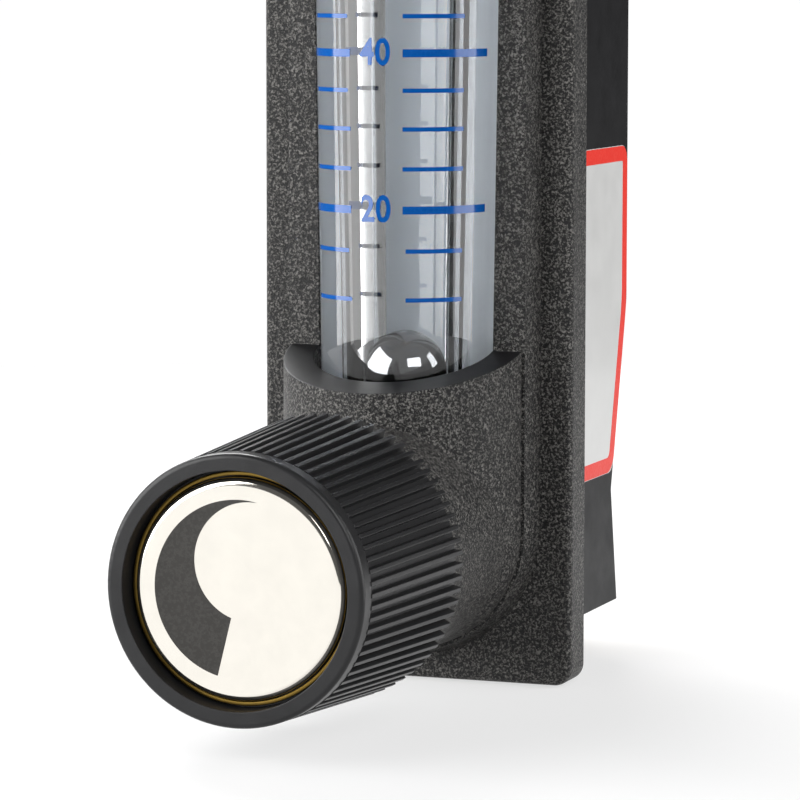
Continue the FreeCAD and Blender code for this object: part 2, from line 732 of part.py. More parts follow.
def build_outlet_ring():
    """The upper port's seal, at the bottom of its hole."""
    return level_seal("outlet_ring", "Sizes.port_ring_radius", "Sizes.port_ring_section",
                      TOP_CENTRE, f"{PORT_FLOOR} + Sizes.port_ring_section")


def build_case_screws():
    """The two screws that hold the case to the slab."""
    body = new_body("case_screws")
    shanks = new_sketch(body, "XZ_Plane", "screw_shanks", out="-Sizes.case_depth")
    draw_screw_pair(shanks, "Sizes.case_screw_radius")
    pad(body, shanks, "Sizes.case_depth - Sizes.slab_depth + Sizes.case_screw_grip")
    heads = new_sketch(body, "XZ_Plane", "screw_heads", out="-Sizes.case_depth")
    draw_screw_pair(heads, "Sizes.case_screw_head_radius")
    pad(body, heads, "Sizes.case_screw_head_length", back=True)
    rear = size("case_depth") + size("case_screw_head_length")
    bevel_edges(body, "Sizes.case_screw_head_length / 3",
                lambda e: abs(e.BoundBox.YMin - rear) < 0.01)
    return body


# Float, seat, stop and plug


def build_float_ball():
    """The steel ball, resting on the seat's lip."""
    ball = doc.addObject("Part::Sphere", "float_ball")
    ball.Label = "float_ball"
    ball.setExpression("Radius", "Sizes.ball_radius")
    ball.setExpression("Placement.Base.y", AXIS_Y)
    ball.setExpression(
        "Placement.Base.z",
        "Sizes.seat_top + Sizes.close_gap"
        " + sqrt(Sizes.ball_radius * Sizes.ball_radius"
        " - Sizes.seat_lip_radius * Sizes.seat_lip_radius)",
    )
    return ball


def build_float_seat():
    """The insert at the bottom of the bore that the float rests on."""
    body = new_body("float_seat")
    upright_turning(body, "seat_section", [
        ("Sizes.seat_hole_radius", SEAT_BASE),
        (f"{SEAT_RADIUS} - Sizes.close_gap", SEAT_BASE),
        (f"{SEAT_RADIUS} - Sizes.close_gap", "Sizes.seat_top"),
        ("Sizes.seat_lip_radius", "Sizes.seat_top"),
        ("Sizes.seat_hole_radius", "Sizes.seat_top - Sizes.seat_lip_depth"),
    ])
    return body


def build_float_stop():
    """The spider that stops the float at the top of the bore."""
    body = new_body("float_stop")
    rim = new_sketch(body, "XY_Plane", "stop_rim", out=STOP_HEIGHT)
    outer = f"({COUNTERBORE_RADIUS} - Sizes.close_gap)"
    inner = f"({outer} - Sizes.stop_rim_width)"
    reach = f"({inner} + Sizes.stop_bar_overlap)"
    half = "(Sizes.stop_bar_width / 2)"
    draw_circle(rim, "0", AXIS_Y, outer)
    draw_circle(rim, "0", AXIS_Y, inner)
    pad(body, rim, "Sizes.stop_thickness")
    for name, reach_x, reach_y in (("across", reach, half), ("along", half, reach)):
        bar = new_sketch(body, "XY_Plane", f"stop_bar_{name}", up=AXIS_Y, out=STOP_HEIGHT)
        draw_polygon(bar, rectangle(f"-{reach_x}", reach_x, f"-{reach_y}", reach_y))
        pad(body, bar, "Sizes.stop_thickness")
    return body


def build_top_plug():
    """The slotted plug that closes the bore, with a groove for its seal."""
    body = new_body("top_plug")
    radius = f"({COUNTERBORE_RADIUS} - Sizes.fit_gap)"
    groove = f"({COUNTERBORE_RADIUS} - Sizes.plug_groove_depth)"
    groove_low = f"({PLUG_BASE} + Sizes.plug_groove_height)"
    groove_high = f"({groove_low} + Sizes.plug_groove_width)"
    upright_turning(body, "plug_section", [
        ("0", PLUG_BASE),
        (radius, PLUG_BASE),
        (radius, groove_low),
        (groove, groove_low),
        (groove, groove_high),
        (radius, groove_high),
        (radius, TUBE_TOP),
        ("0", TUBE_TOP),
    ])
    slot = new_sketch(body, "XY_Plane", "plug_slot", up=AXIS_Y, out=TUBE_TOP)
    half = "Sizes.plug_slot_width / 2"
    draw_polygon(slot, rectangle(f"-{TUBE_TOP_RADIUS}", TUBE_TOP_RADIUS, f"-{half}", half))
    pocket(body, slot, "Sizes.plug_slot_depth")
    return body


def build_plug_ring():
    """The plug's seal."""
    body = new_body("plug_ring")
    radius = f"({COUNTERBORE_RADIUS} - Sizes.plug_ring_section - Sizes.fit_gap)"
    height = f"({PLUG_BASE} + Sizes.plug_groove_height + Sizes.plug_groove_width / 2)"
    upright_turning(body, "plug_ring_section",
                    ring_section(radius, height, "Sizes.plug_ring_section"))
    return body


# Needle valve


def build_valve_seat():
    """The insert with the orifice that the needle closes."""
    body = new_body("valve_seat")
    rim = "(Sizes.chamber_radius - Sizes.close_gap)"
    level_turning(body, "valve_seat_section", "Sizes.valve_height", [
        ("-Sizes.chamber_end", "Sizes.orifice_radius"),
        ("-Sizes.chamber_end", rim),
        (VALVE_SEAT_BACK, rim),
        (VALVE_SEAT_BACK, "Sizes.orifice_mouth_radius"),
        (f"{VALVE_SEAT_BACK} - Sizes.orifice_mouth_depth", "Sizes.orifice_radius"),
    ])
    return body


def build_valve_bush():
    """The brass bush: screwed shank, hexagon head, stem thread and gland bore."""
    body = new_body("valve_bush")
    level_turning(body, "bush_outside", "Sizes.valve_height", [
        ("-Sizes.bush_end", "0"),
        ("-Sizes.bush_end", "Sizes.bush_shank_radius - Sizes.fit_gap"),
        (f"-{HEAD_SEAT}", "Sizes.bush_shank_radius - Sizes.fit_gap"),
        (f"-{HEAD_SEAT}", "0"),
    ])
    head = new_sketch(body, "XZ_Plane", "bush_head", out=HEAD_SEAT)
    draw_hexagon(head, "0", "Sizes.valve_height", "Sizes.bush_head_flats")
    pad(body, head, "Sizes.bush_head_length")
    shelf = "(-Sizes.bush_end - Sizes.bush_thread_length)"
    level_turning(body, "bush_bore", "Sizes.valve_height", [
        ("-Sizes.bush_end + Sizes.overcut", "0"),
        ("-Sizes.bush_end + Sizes.overcut", "Sizes.stem_radius + Sizes.fit_gap"),
        (shelf, "Sizes.stem_radius + Sizes.fit_gap"),
        (shelf, "Sizes.bush_gland_radius"),
        (f"-{BUSH_FRONT} - Sizes.overcut", "Sizes.bush_gland_radius"),
        (f"-{BUSH_FRONT} - Sizes.overcut", "0"),
    ], cut=True)
    return body


def build_bush_ring():
    """The seal under the bush, in the valve block's counterbore."""
    return level_seal("bush_ring", "Sizes.bush_ring_radius", "Sizes.bush_ring_section",
                      "Sizes.valve_height",
                      "-Sizes.block_front + Sizes.bush_ring_section + Sizes.fit_gap")


def build_stem_ring():
    """The seal that travels in the stem's groove."""
    return level_seal(
        "stem_ring", "Sizes.stem_groove_radius + Sizes.stem_ring_section + Sizes.fit_gap",
        "Sizes.stem_ring_section", "Sizes.valve_height",
        "-Sizes.stem_groove_front + Sizes.stem_groove_width / 2")


def build_valve_stem():
    """The stem: needle, stop collar, threaded length, seal groove and front shaft."""
    body = new_body("valve_stem")
    needle_end = "(-Sizes.chamber_end + Sizes.needle_tip_depth)"
    collar_back = "(-Sizes.stem_collar_front + Sizes.stem_collar_length)"
    groove_back = "(-Sizes.stem_groove_front + Sizes.stem_groove_width)"
    neck_front = "(-Sizes.stem_collar_front - Sizes.stem_neck_length)"
    level_turning(body, "stem_section", "Sizes.valve_height", [
        (needle_end, "0"),
        (needle_end, "Sizes.needle_tip_radius"),
        ("-Sizes.chamber_end - Sizes.needle_gap", "Sizes.orifice_radius - Sizes.fit_gap"),
        ("-Sizes.chamber_end - Sizes.needle_shoulder", "Sizes.stem_nose_radius"),
        (collar_back, "Sizes.stem_nose_radius"),
        (collar_back, "Sizes.stem_collar_radius"),
        ("-Sizes.stem_collar_front", "Sizes.stem_collar_radius"),
        ("-Sizes.stem_collar_front", "Sizes.stem_nose_radius"),
        (neck_front, "Sizes.stem_nose_radius"),
        (neck_front, "Sizes.stem_radius"),
        (groove_back, "Sizes.stem_radius"),
        (groove_back, "Sizes.stem_groove_radius"),
        ("-Sizes.stem_groove_front", "Sizes.stem_groove_radius"),
        ("-Sizes.stem_groove_front", "Sizes.stem_radius"),
        ("-Sizes.stem_end", "Sizes.stem_radius"),
        ("-Sizes.stem_end", "0"),
    ])
    hole = new_sketch(body, "XZ_Plane", "stem_screw_hole", out="Sizes.stem_end")
    draw_circle(hole, "0", "Sizes.valve_height", "Sizes.screw_shank_radius + Sizes.close_gap")
    pocket(body, hole, f"Sizes.screw_length + Sizes.screw_end_room - {RECESS_FLOOR}"
                       " + Sizes.stem_end + Sizes.screw_head_length")
    return body


# Knob


def knurl_outline(body, name, place, root, tip):
    """One knurl's section at a distance along the knob's axis."""
    sketch = new_sketch(body, "XZ_Plane", name, up="Sizes.valve_height", out=place)
    foot = "(180 * Sizes.knurl_base_share / Sizes.knurl_count)"
    crest = "(180 * Sizes.knurl_tip_share / Sizes.knurl_count)"
    sunk = f"({root} - Sizes.knurl_root_depth)"
    base_half = f"({root} * tan({foot}))"
    tip_half = f"({tip} * tan({crest}))"
    draw_polygon(sketch, [
        (f"-{base_half}", sunk),
        (base_half, sunk),
        (tip_half, tip),
        (f"-{tip_half}", tip),
    ])
    return sketch


def build_knob():
    """The flared, straight-knurled knob with its plain front ring and hollow back."""
    body = new_body("knob")
    level_turning(body, "knob_blank", "Sizes.valve_height", [
        (f"-{KNOB_BACK}", "0"),
        (f"-{KNOB_BACK}", "Sizes.knob_root_back_radius"),
        (f"-{KNURL_FRONT}", "Sizes.knob_root_front_radius"),
        (f"-{KNURL_FRONT}", "Sizes.knob_ring_radius"),
        ("-Sizes.knob_front", "Sizes.knob_ring_radius"),
        ("-Sizes.knob_front", "0"),
    ])
    front = -size("knob_front")
    round_edges(body, "Sizes.knob_ring_round", lambda e: abs(e.BoundBox.YMax - front) < 0.01)
    level_turning(body, "knob_hollow", "Sizes.valve_height", [
        (f"-{KNOB_BACK} + Sizes.overcut", "0"),
        (f"-{KNOB_BACK} + Sizes.overcut", "Sizes.knob_skirt_radius"),
        ("-Sizes.stem_end", "Sizes.knob_skirt_radius"),
        ("-Sizes.stem_end", "Sizes.knob_hub_radius"),
        (f"-{KNOB_BACK} - Sizes.knob_hub_inset", "Sizes.knob_hub_radius"),
        (f"-{KNOB_BACK} - Sizes.knob_hub_inset", "0"),
    ], cut=True)
    head_seat = f"(-{RECESS_FLOOR} + Sizes.screw_head_length)"
    level_turning(body, "knob_bores", "Sizes.valve_height", [
        (f"-{KNOB_BACK}", "0"),
        (f"-{KNOB_BACK}", "Sizes.stem_radius + Sizes.close_gap"),
        ("-Sizes.stem_end", "Sizes.stem_radius + Sizes.close_gap"),
        ("-Sizes.stem_end", "Sizes.screw_shank_radius + Sizes.hole_clearance"),
        (head_seat, "Sizes.screw_shank_radius + Sizes.hole_clearance"),
        (head_seat, "Sizes.screw_head_radius + Sizes.hole_clearance"),
        (f"-{RECESS_FLOOR}", "Sizes.screw_head_radius + Sizes.hole_clearance"),
        (f"-{RECESS_FLOOR}", "Sizes.knob_recess_radius"),
        ("-Sizes.knob_front - Sizes.overcut", "Sizes.knob_recess_radius"),
        ("-Sizes.knob_front - Sizes.overcut", "0"),
    ], cut=True)
    near = knurl_outline(body, "knurl_front", KNURL_FRONT,
                         "Sizes.knob_root_front_radius", "Sizes.knob_tip_front_radius")
    far = knurl_outline(body, "knurl_back", KNOB_BACK,
                        "Sizes.knob_root_back_radius", "Sizes.knob_tip_back_radius")
    knurl = body.newObject("PartDesign::AdditiveLoft", "knurl")
    knurl.Profile = near
    knurl.Sections = [far]
    knurl.Ruled = True
    doc.recompute()
    knurls = body.newObject("PartDesign::PolarPattern", "knurls")
    knurls.Originals = [knurl]
    knurls.Axis = (near, ["N_Axis"])
    knurls.Angle = 360.0
    knurls.setExpression("Occurrences", "Sizes.knurl_count")
    body.Tip = knurls
    doc.recompute()
    return body


def build_knob_insert():
    """The polished disc in the knob's front recess."""
    body = new_body("knob_insert")
    outline = new_sketch(body, "XZ_Plane", "disc_outline", out=RECESS_FLOOR)
    draw_circle(outline, "0", "Sizes.valve_height", "Sizes.disc_radius")
    pad(body, outline, "Sizes.disc_thickness")
    front = -(size("knob_front") - size("knob_recess_depth") + size("disc_thickness"))
    round_edges(body, "Sizes.disc_edge_round", lambda e: abs(e.BoundBox.YMax - front) < 0.01)
    return body


def build_knob_screw():
    """The screw under the disc that holds the knob on the stem."""
    body = new_body("knob_screw")
    under = f"(-{RECESS_FLOOR} + Sizes.screw_head_length)"
    level_turning(body, "screw_section", "Sizes.valve_height", [
        (f"-{RECESS_FLOOR}", "0"),
        (f"-{RECESS_FLOOR}", "Sizes.screw_head_radius"),
        (under, "Sizes.screw_head_radius"),
        (under, "Sizes.screw_shank_radius"),
        (f"{under} + Sizes.screw_length", "Sizes.screw_shank_radius"),
        (f"{under} + Sizes.screw_length", "0"),
    ])
    return body


BUILDERS = [
    build_bezel, build_flow_body, build_rear_case, build_side_label, build_backing_strip,
    build_inlet_adapter, build_outlet_adapter, build_inlet_ring, build_outlet_ring,
    build_case_screws, build_float_ball, build_float_seat, build_float_stop,
    build_top_plug, build_plug_ring, build_valve_seat, build_valve_bush, build_bush_ring,
    build_stem_ring, build_valve_stem, build_knob, build_knob_insert, build_knob_screw,
]


if __name__ == "__main__":
    parts = [build() for build in BUILDERS]
    doc.recompute()
    for item in doc.Objects:
        if "Invalid" in item.State or "Error" in item.State:
            raise RuntimeError(f"{item.Name}: {item.State}")
    os.makedirs("parts", exist_ok=True)
    for item in parts:
        if item.Shape.isNull() or not item.Shape.isValid():
            raise RuntimeError(f"{item.Label}: bad shape")
        item.Shape.exportStep(f"parts/{item.Label}.step")
        box = item.Shape.BoundBox
        print(item.Label, len(item.Shape.Solids), round(item.Shape.Volume, 1),
              [round(v, 2) for v in (box.XMin, box.XMax, box.YMin, box.YMax, box.ZMin, box.ZMax)])
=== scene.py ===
"""Looks of a panel-mounted oxygen flowmeter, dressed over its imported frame.

Lengths in the pieces' classes are in millimetres and are turned into metres where
they reach Blender. X runs across the bezel, +Y back into the panel, +Z up the tube.
"""
import logging
import math
from dataclasses import dataclass, field
from enum import Enum
from typing import Callable, Optional, Sequence

import bmesh
import bpy
from mathutils import Matrix, Vector


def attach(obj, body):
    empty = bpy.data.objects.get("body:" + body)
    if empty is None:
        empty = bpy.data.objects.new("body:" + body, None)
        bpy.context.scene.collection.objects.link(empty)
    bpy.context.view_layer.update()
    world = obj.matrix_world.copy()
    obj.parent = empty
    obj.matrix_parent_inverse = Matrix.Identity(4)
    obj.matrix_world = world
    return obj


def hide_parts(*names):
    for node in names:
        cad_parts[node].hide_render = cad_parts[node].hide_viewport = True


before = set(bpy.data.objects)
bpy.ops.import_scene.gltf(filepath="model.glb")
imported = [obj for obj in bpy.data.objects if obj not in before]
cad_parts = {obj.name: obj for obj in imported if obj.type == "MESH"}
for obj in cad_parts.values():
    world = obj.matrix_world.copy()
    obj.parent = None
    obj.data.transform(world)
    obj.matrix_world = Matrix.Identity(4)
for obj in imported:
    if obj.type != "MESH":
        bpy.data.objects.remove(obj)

LOG = logging.getLogger("flowmeter")
MM = 0.001
TUBE_AXIS_Y = -5.8
TUBE_LOW, TUBE_TOP = 12.2, 111.0
TUBE_LOW_RADIUS, TUBE_TOP_RADIUS = 6.35, 7.65
VALVE_HEIGHT = 12.2
OUTLET_HEIGHT = 110.0
FACING_Y = (math.radians(90.0), 0.0, 0.0)
HAIR = 1e-6  # Metres: closer than this counts as the same place
SQUARE = 0.999  # Part of a normal along an axis from which a face is square to it

Object = bpy.types.Object
Material = bpy.types.Material
Face = bmesh.types.BMFace
Edge = bmesh.types.BMEdge
Socket = bpy.types.NodeSocket
Point = tuple[float, float, float]
Colour = tuple[float, float, float]


class Body(Enum):
    """The bodies that the scene's own pieces ride on."""

    HOUSING = "housing"
    SPINDLE = "valve_spindle"


class Axis(Enum):
    """The axis that a turned finish was turned about."""

    Y = 1
    Z = 2


def metres(point: Sequence[float]) -> Vector:
    """A point in millimetres as a vector in metres."""
    return Vector(point) * MM


# Modelling steps that the pieces share


class Bench:
    """Hand-modelling steps on the active object."""

    @staticmethod
    def clear() -> None:
        """Leave object mode with nothing selected."""
        if bpy.context.object and bpy.context.object.mode != "OBJECT":
            bpy.ops.object.mode_set(mode="OBJECT")
        bpy.ops.object.select_all(action="DESELECT")

    @staticmethod
    def take(name: str) -> Object:
        """Name the primitive just added and bake its place into its mesh.

        Args:
            name: The piece's name.

        Returns:
            The named object, at the origin and selected alone.
        """
        obj = bpy.context.object
        obj.name = name
        obj.data.name = name
        bpy.ops.object.transform_apply()
        return obj

    @staticmethod
    def only(obj: Object) -> None:
        """Select one object alone and make it active."""
        Bench.clear()
        obj.select_set(True)
        bpy.context.view_layer.objects.active = obj

    @staticmethod
    def box(name: str, low: Point, high: Point) -> Object:
        """A box between two corners.

        Args:
            name: The box's name.
            low: Its lowest corner.
            high: Its highest corner.

        Returns:
            The box.
        """
        Bench.clear()
        middle = tuple((a + b) / 2 for a, b in zip(low, high))
        bpy.ops.mesh.primitive_cube_add(size=1.0, location=metres(middle))
        bpy.context.object.scale = metres(tuple(b - a for a, b in zip(low, high)))
        return Bench.take(name)

    @staticmethod
    def rod(name: str, back: float, front: float, place: tuple[float, float], radius: float,
            facets: int) -> Object:
        """A round solid along Y.

        Args:
            name: The solid's name.
            back: Its rear end.
            front: Its front end.
            place: Where its axis runs, across and up.
            radius: Its radius.
            facets: How many sides it has.

        Returns:
            The solid.
        """
        Bench.clear()
        bpy.ops.mesh.primitive_cylinder_add(
            vertices=facets, radius=radius * MM, depth=abs(back - front) * MM,
            location=metres((place[0], (back + front) / 2, place[1])), rotation=FACING_Y)
        return Bench.take(name)

    @staticmethod
    def round_face(name: str, y: float, radius: float, facets: int) -> Object:
        """A round face square to the valve's axis.

        Args:
            name: The face's name.
            y: Its place along the axis.
            radius: Its radius.
            facets: How many sides it has.

        Returns:
            The face.
        """
        Bench.clear()
        bpy.ops.mesh.primitive_circle_add(
            vertices=facets, radius=radius * MM, fill_type="NGON",
            location=metres((0.0, y, VALVE_HEIGHT)), rotation=FACING_Y)
        return Bench.take(name)

    @staticmethod
    def edit(obj: Object, mode: str = "FACE") -> None:
        """Enter edit mode on an object with nothing selected."""
        Bench.only(obj)
        bpy.ops.object.mode_set(mode="EDIT")
        bpy.ops.mesh.select_mode(type=mode)
        bpy.ops.mesh.select_all(action="DESELECT")

    @staticmethod
    def edit_all(obj: Object, mode: str = "FACE") -> None:
        """Enter edit mode on an object with everything selected."""
        Bench.edit(obj, mode)
        bpy.ops.mesh.select_all(action="SELECT")

    @staticmethod
    def done() -> None:
        """Return to object mode."""
        bpy.ops.object.mode_set(mode="OBJECT")

    @staticmethod
    def pick(obj: Object, kind: str, wanted: Callable[[Face | Edge], bool]) -> None:
        """Select the faces or edges that a test wants, while in edit mode.

        Args:
            obj: The object in edit mode.
            kind: Its "faces" or its "edges".
            wanted: A test on one of them.
        """
        mesh = bmesh.from_edit_mesh(obj.data)
        for part in getattr(mesh, kind):
            part.select_set(bool(wanted(part)))
        if kind == "faces":
            mesh.select_flush_mode()
        bmesh.update_edit_mesh(obj.data)

    @staticmethod
    def apply(obj: Object, kind: str, **settings: object) -> None:
        """Add a modifier, set it up and apply it.

        Args:
            obj: The object to change.
            kind: The modifier's type.
            settings: Its values by name.
        """
        Bench.only(obj)
        modifier = obj.modifiers.new(kind.lower(), kind)
        for key, value in settings.items():
            setattr(modifier, key, value)
        bpy.ops.object.modifier_apply(modifier=modifier.name)

    @staticmethod
    def cut(obj: Object, tool: Object, operation: str = "DIFFERENCE") -> None:
        """Combine an object with a tool solid and throw the tool away.

        Args:
            obj: The object that stays.
            tool: The solid used on it.
            operation: DIFFERENCE, UNION or INTERSECT.
        """
        Bench.apply(obj, "BOOLEAN", operation=operation, object=tool, solver="EXACT")
        bpy.data.objects.remove(tool)

    @staticmethod
    def outward(obj: Object) -> None:
        """Merge doubles and turn every face outwards."""
        Bench.edit_all(obj)
        bpy.ops.mesh.remove_doubles(threshold=2 * HAIR)
        bpy.ops.mesh.normals_make_consistent(inside=False)
        Bench.done()

    @staticmethod
    def smooth(obj: Object, degrees: float = 30.0) -> None:
        """Shade smooth, but keep edges sharper than an angle."""
        Bench.only(obj)
        bpy.ops.object.shade_smooth_by_angle(angle=math.radians(degrees))

    @staticmethod
    def finish(obj: Object, material: Material, body: Body, slot: str,
               stands_for: Sequence[str] = ()) -> None:
        """Give a piece its material and its body, and log it.

        Args:
            obj: The finished piece.
            material: Its material.
            body: The body that it rides on.
            slot: Not used.
            stands_for: CAD nodes that it replaces.
        """
        obj.data.materials.clear()
        obj.data.materials.append(material)
        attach(obj, body.value)
        if stands_for:
            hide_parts(*stands_for)
        LOG.info("piece %s: %d faces, rides on %s", obj.name, len(obj.data.polygons), body.value)


# Finishes


class Shader:
    """A material being wired up, with its Principled shader."""

    def __init__(self, name: str) -> None:
        """Start a node material.

        Args:
            name: The material's name.
        """
        self.material = bpy.data.materials.new(name)
        self.material.use_nodes = True
        self.tree = self.material.node_tree
        self.surface = self.tree.nodes["Principled BSDF"]

    def add(self, kind: str, inputs: Optional[dict[str | int, object]] = None,
            **settings: object) -> bpy.types.Node:
        """Add a node and set its values.

        Args:
            kind: The node's type.
            inputs: A constant or a socket for each input, by name or place.
            settings: Attributes to set on it.

        Returns:
            The node.
        """
        node = self.tree.nodes.new(kind)
        for key, value in settings.items():
            setattr(node, key, value)
        for key, value in (inputs or {}).items():
            if isinstance(value, Socket):
                self.link(value, node.inputs[key])
            else:
                node.inputs[key].default_value = value
        return node

    def link(self, source: Socket, target: Socket) -> None:
        """Join an output to an input."""
        self.tree.links.new(source, target)

    def compute(self, operation: str, *terms: object) -> Socket:
        """Work out a value from others.

        Args:
            operation: The math node's operation.
            terms: Its inputs in order, constants or sockets.

        Returns:
            The result.
        """
        node = self.add("ShaderNodeMath", dict(enumerate(terms)), operation=operation)
        return node.outputs["Value"]

    def plain(self, **values: object) -> None:
        """Set constants on the Principled shader's own sockets, by spaced names."""
        for key, value in values.items():
            if isinstance(value, tuple) and len(value) == 3:
                value = (*value, 1.0)
            self.surface.inputs[key.replace("_", " ")].default_value = value

    def place(self, stretch: Point = (1.0, 1.0, 1.0)) -> Socket:
        """Object coordinates, stretched.

        Args:
            stretch: A factor for each axis.

        Returns:
            The coordinate output.
        """
        coordinates = self.add("ShaderNodeTexCoord")
        return self.add("ShaderNodeMapping", {
            "Scale": stretch, "Vector": coordinates.outputs["Object"]}).outputs["Vector"]

    def noise(self, size_mm: float, detail: float = 3.0, rough: float = 0.5,
              stretch: Point = (1.0, 1.0, 1.0), warp: float = 0.0) -> Socket:
        """Cloudy noise with a feature size.

        Args:
            size_mm: The size of a feature.
            detail: Octaves.
            rough: How much each octave adds.
            stretch: A factor for each axis.
            warp: How far the noise is pulled out of shape.

        Returns:
            The noise value, about 0 to 1.
        """
        return self.add("ShaderNodeTexNoise", {
            "Scale": 1.0 / (size_mm * MM), "Detail": detail, "Roughness": rough,
            "Distortion": warp, "Vector": self.place(stretch)}).outputs["Fac"]

    def cells(self, size_mm: float, smooth: float = 0.6) -> Socket:
        """Rounded cells, as in a moulded grain.

        Args:
            size_mm: The size of a cell.
            smooth: How far the cells run together.

        Returns:
            The distance value.
        """
        return self.add("ShaderNodeTexVoronoi", {
            "Scale": 1.0 / (size_mm * MM), "Smoothness": smooth, "Vector": self.place(),
        }, feature="SMOOTH_F1").outputs["Distance"]

    def spread(self, value: Socket, low: float, high: float,
               start: float = 0.0, end: float = 1.0) -> Socket:
        """Map a value from one range to another, clamped.

        Args:
            value: The incoming value.
            low: The result at the range's start.
            high: The result at the range's end.
            start: The range's start.
            end: The range's end.

        Returns:
            The mapped value.
        """
        return self.add("ShaderNodeMapRange", {
            "From Min": start, "From Max": end, "To Min": low, "To Max": high,
            "Value": value}).outputs["Result"]

    def tint(self, value: Socket, stops: Sequence[tuple[float, Colour]]) -> None:
        """Colour the surface by a value.

        Args:
            value: A value from 0 to 1.
            stops: Positions and colours of the ramp.
        """
        ramp = self.add("ShaderNodeValToRGB", {"Fac": value})
        elements = ramp.color_ramp.elements
        while len(elements) < len(stops):
            elements.new(0.5)
        for element, (place, colour) in zip(elements, stops):
            element.position = place
            element.color = (*colour, 1.0)
        self.link(ramp.outputs["Color"], self.surface.inputs["Base Color"])

    def rough(self, value: Socket, low: float, high: float) -> None:
        """Vary the roughness between two values."""
        self.link(self.spread(value, low, high, 0.3, 0.7), self.surface.inputs["Roughness"])

    def bump(self, height: Socket, depth_mm: float, strength: float = 1.0,
             edge_mm: float = 0.0) -> None:
        """Raise the surface by a height value, and round its edges.

        Args:
            height: The height value, 0 to 1.
            depth_mm: The height of a value of 1.
            strength: How much of it shows.
            edge_mm: The rounding of the edges.
        """
        node = self.add("ShaderNodeBump", {
            "Distance": depth_mm * MM, "Strength": strength, "Height": height})
        if edge_mm:
            edge = self.add("ShaderNodeBevel", {"Radius": edge_mm * MM}, samples=6)
            self.link(edge.outputs["Normal"], node.inputs["Normal"])
        self.link(node.outputs["Normal"], self.surface.inputs["Normal"])


@dataclass(frozen=True)
class GrainedPlastic:
    """Moulded black plastic with a fine leather grain, smooth on the ledges; the pale specks in
    its colour are painted glints.
    """

    name: str = "grained_black_painted_glints"
    dark: Colour = (0.006, 0.006, 0.006)
    # Pale speck colour: painted glints standing in for the lamps' highlights on the grain's bumps
    light: Colour = (0.215, 0.207, 0.195)
    ledge: Colour = (0.007, 0.007, 0.008)
    grain_mm: float = 0.19
    depth_mm: float = 0.07
    roughness: tuple[float, float] = (0.36, 0.46)
    specular: float = 0.3
    edge_mm: float = 0.12
    cell_size: float = 1.1
    cell_share: float = -0.25
    contrast: tuple[float, float] = (0.24, 0.58)
    ledges: tuple[float, float] = (22.5, 103.0)
    ledge_slope: tuple[float, float] = (0.86, 0.94)

    def build(self) -> Material:
        """Wire the material and return it."""
        shader = Shader(self.name)
        wrinkles = shader.noise(self.grain_mm, 2.5, 0.62, warp=0.9)
        cells = shader.cells(self.grain_mm * self.cell_size, 0.2)
        mix = shader.compute("MULTIPLY_ADD", cells, self.cell_share, wrinkles)
        grain = shader.spread(mix, 0.0, 1.0, *self.contrast)
        height = shader.compute("MULTIPLY", grain, self.grain_mask(shader))
        # Painted glints: the grain's high spots are coloured pale where highlights would sparkle;
        # the bump below is the real grain
        shader.tint(height, ((0.0, self.ledge), (0.1, self.dark), (0.32, self.dark),
                             (0.9, self.light)))
        shader.rough(shader.noise(7.0, 4.0, 0.6), *self.roughness)
        shader.plain(Specular_IOR_Level=self.specular)
        shader.bump(height, self.depth_mm, edge_mm=self.edge_mm)
        return shader.material

    def grain_mask(self, shader: Shader) -> Socket:
        """Where the grain shows: everywhere but the collars' level ledges.

        Args:
            shader: The material being wired.

        Returns:
            1 on grain and 0 on a ledge.
        """
        geometry = shader.add("ShaderNodeNewGeometry")
        normal = shader.add("ShaderNodeSeparateXYZ", {"Vector": geometry.outputs["True Normal"]})
        upright = shader.compute("ABSOLUTE", normal.outputs["Z"])
        level = shader.spread(upright, 0.0, 1.0, *self.ledge_slope)
        up = shader.add("ShaderNodeSeparateXYZ", {"Vector": shader.place()}).outputs["Z"]
        low, high = (height * MM for height in self.ledges)
        between = shader.compute("MINIMUM", shader.spread(up, 0.0, 1.0, low - MM, low),
                             shader.spread(up, 1.0, 0.0, high, high + MM))
        return shader.spread(shader.compute("MULTIPLY", level, between), 1.0, 0.0)


@dataclass(frozen=True)
class SmoothPlastic:
    """Plain moulded plastic with a faint mottle and soft edges."""

    name: str
    colour: Colour
    roughness: tuple[float, float] = (0.3, 0.4)
    mottle: float = 0.15
    mottle_mm: float = 2.5
    fine_mm: float = 0.12
    depth_mm: float = 0.004
    edge_mm: float = 0.15
    coat: float = 0.0
    specular: float = 0.5

    def build(self) -> Material:
        """Wire the material and return it."""
        shader = Shader(self.name)
        cloud = shader.noise(self.mottle_mm, 5.0, 0.55)
        dark = tuple(c * (1.0 - self.mottle) for c in self.colour)
        light = tuple(c * (1.0 + self.mottle) for c in self.colour)
        shader.tint(cloud, ((0.3, dark), (0.7, light)))
        shader.rough(cloud, *self.roughness)
        shader.plain(Coat_Weight=self.coat, Coat_Roughness=0.08,
                     Specular_IOR_Level=self.specular)
        shader.bump(shader.noise(self.fine_mm, 4.0, 0.6), self.depth_mm, edge_mm=self.edge_mm)
        return shader.material


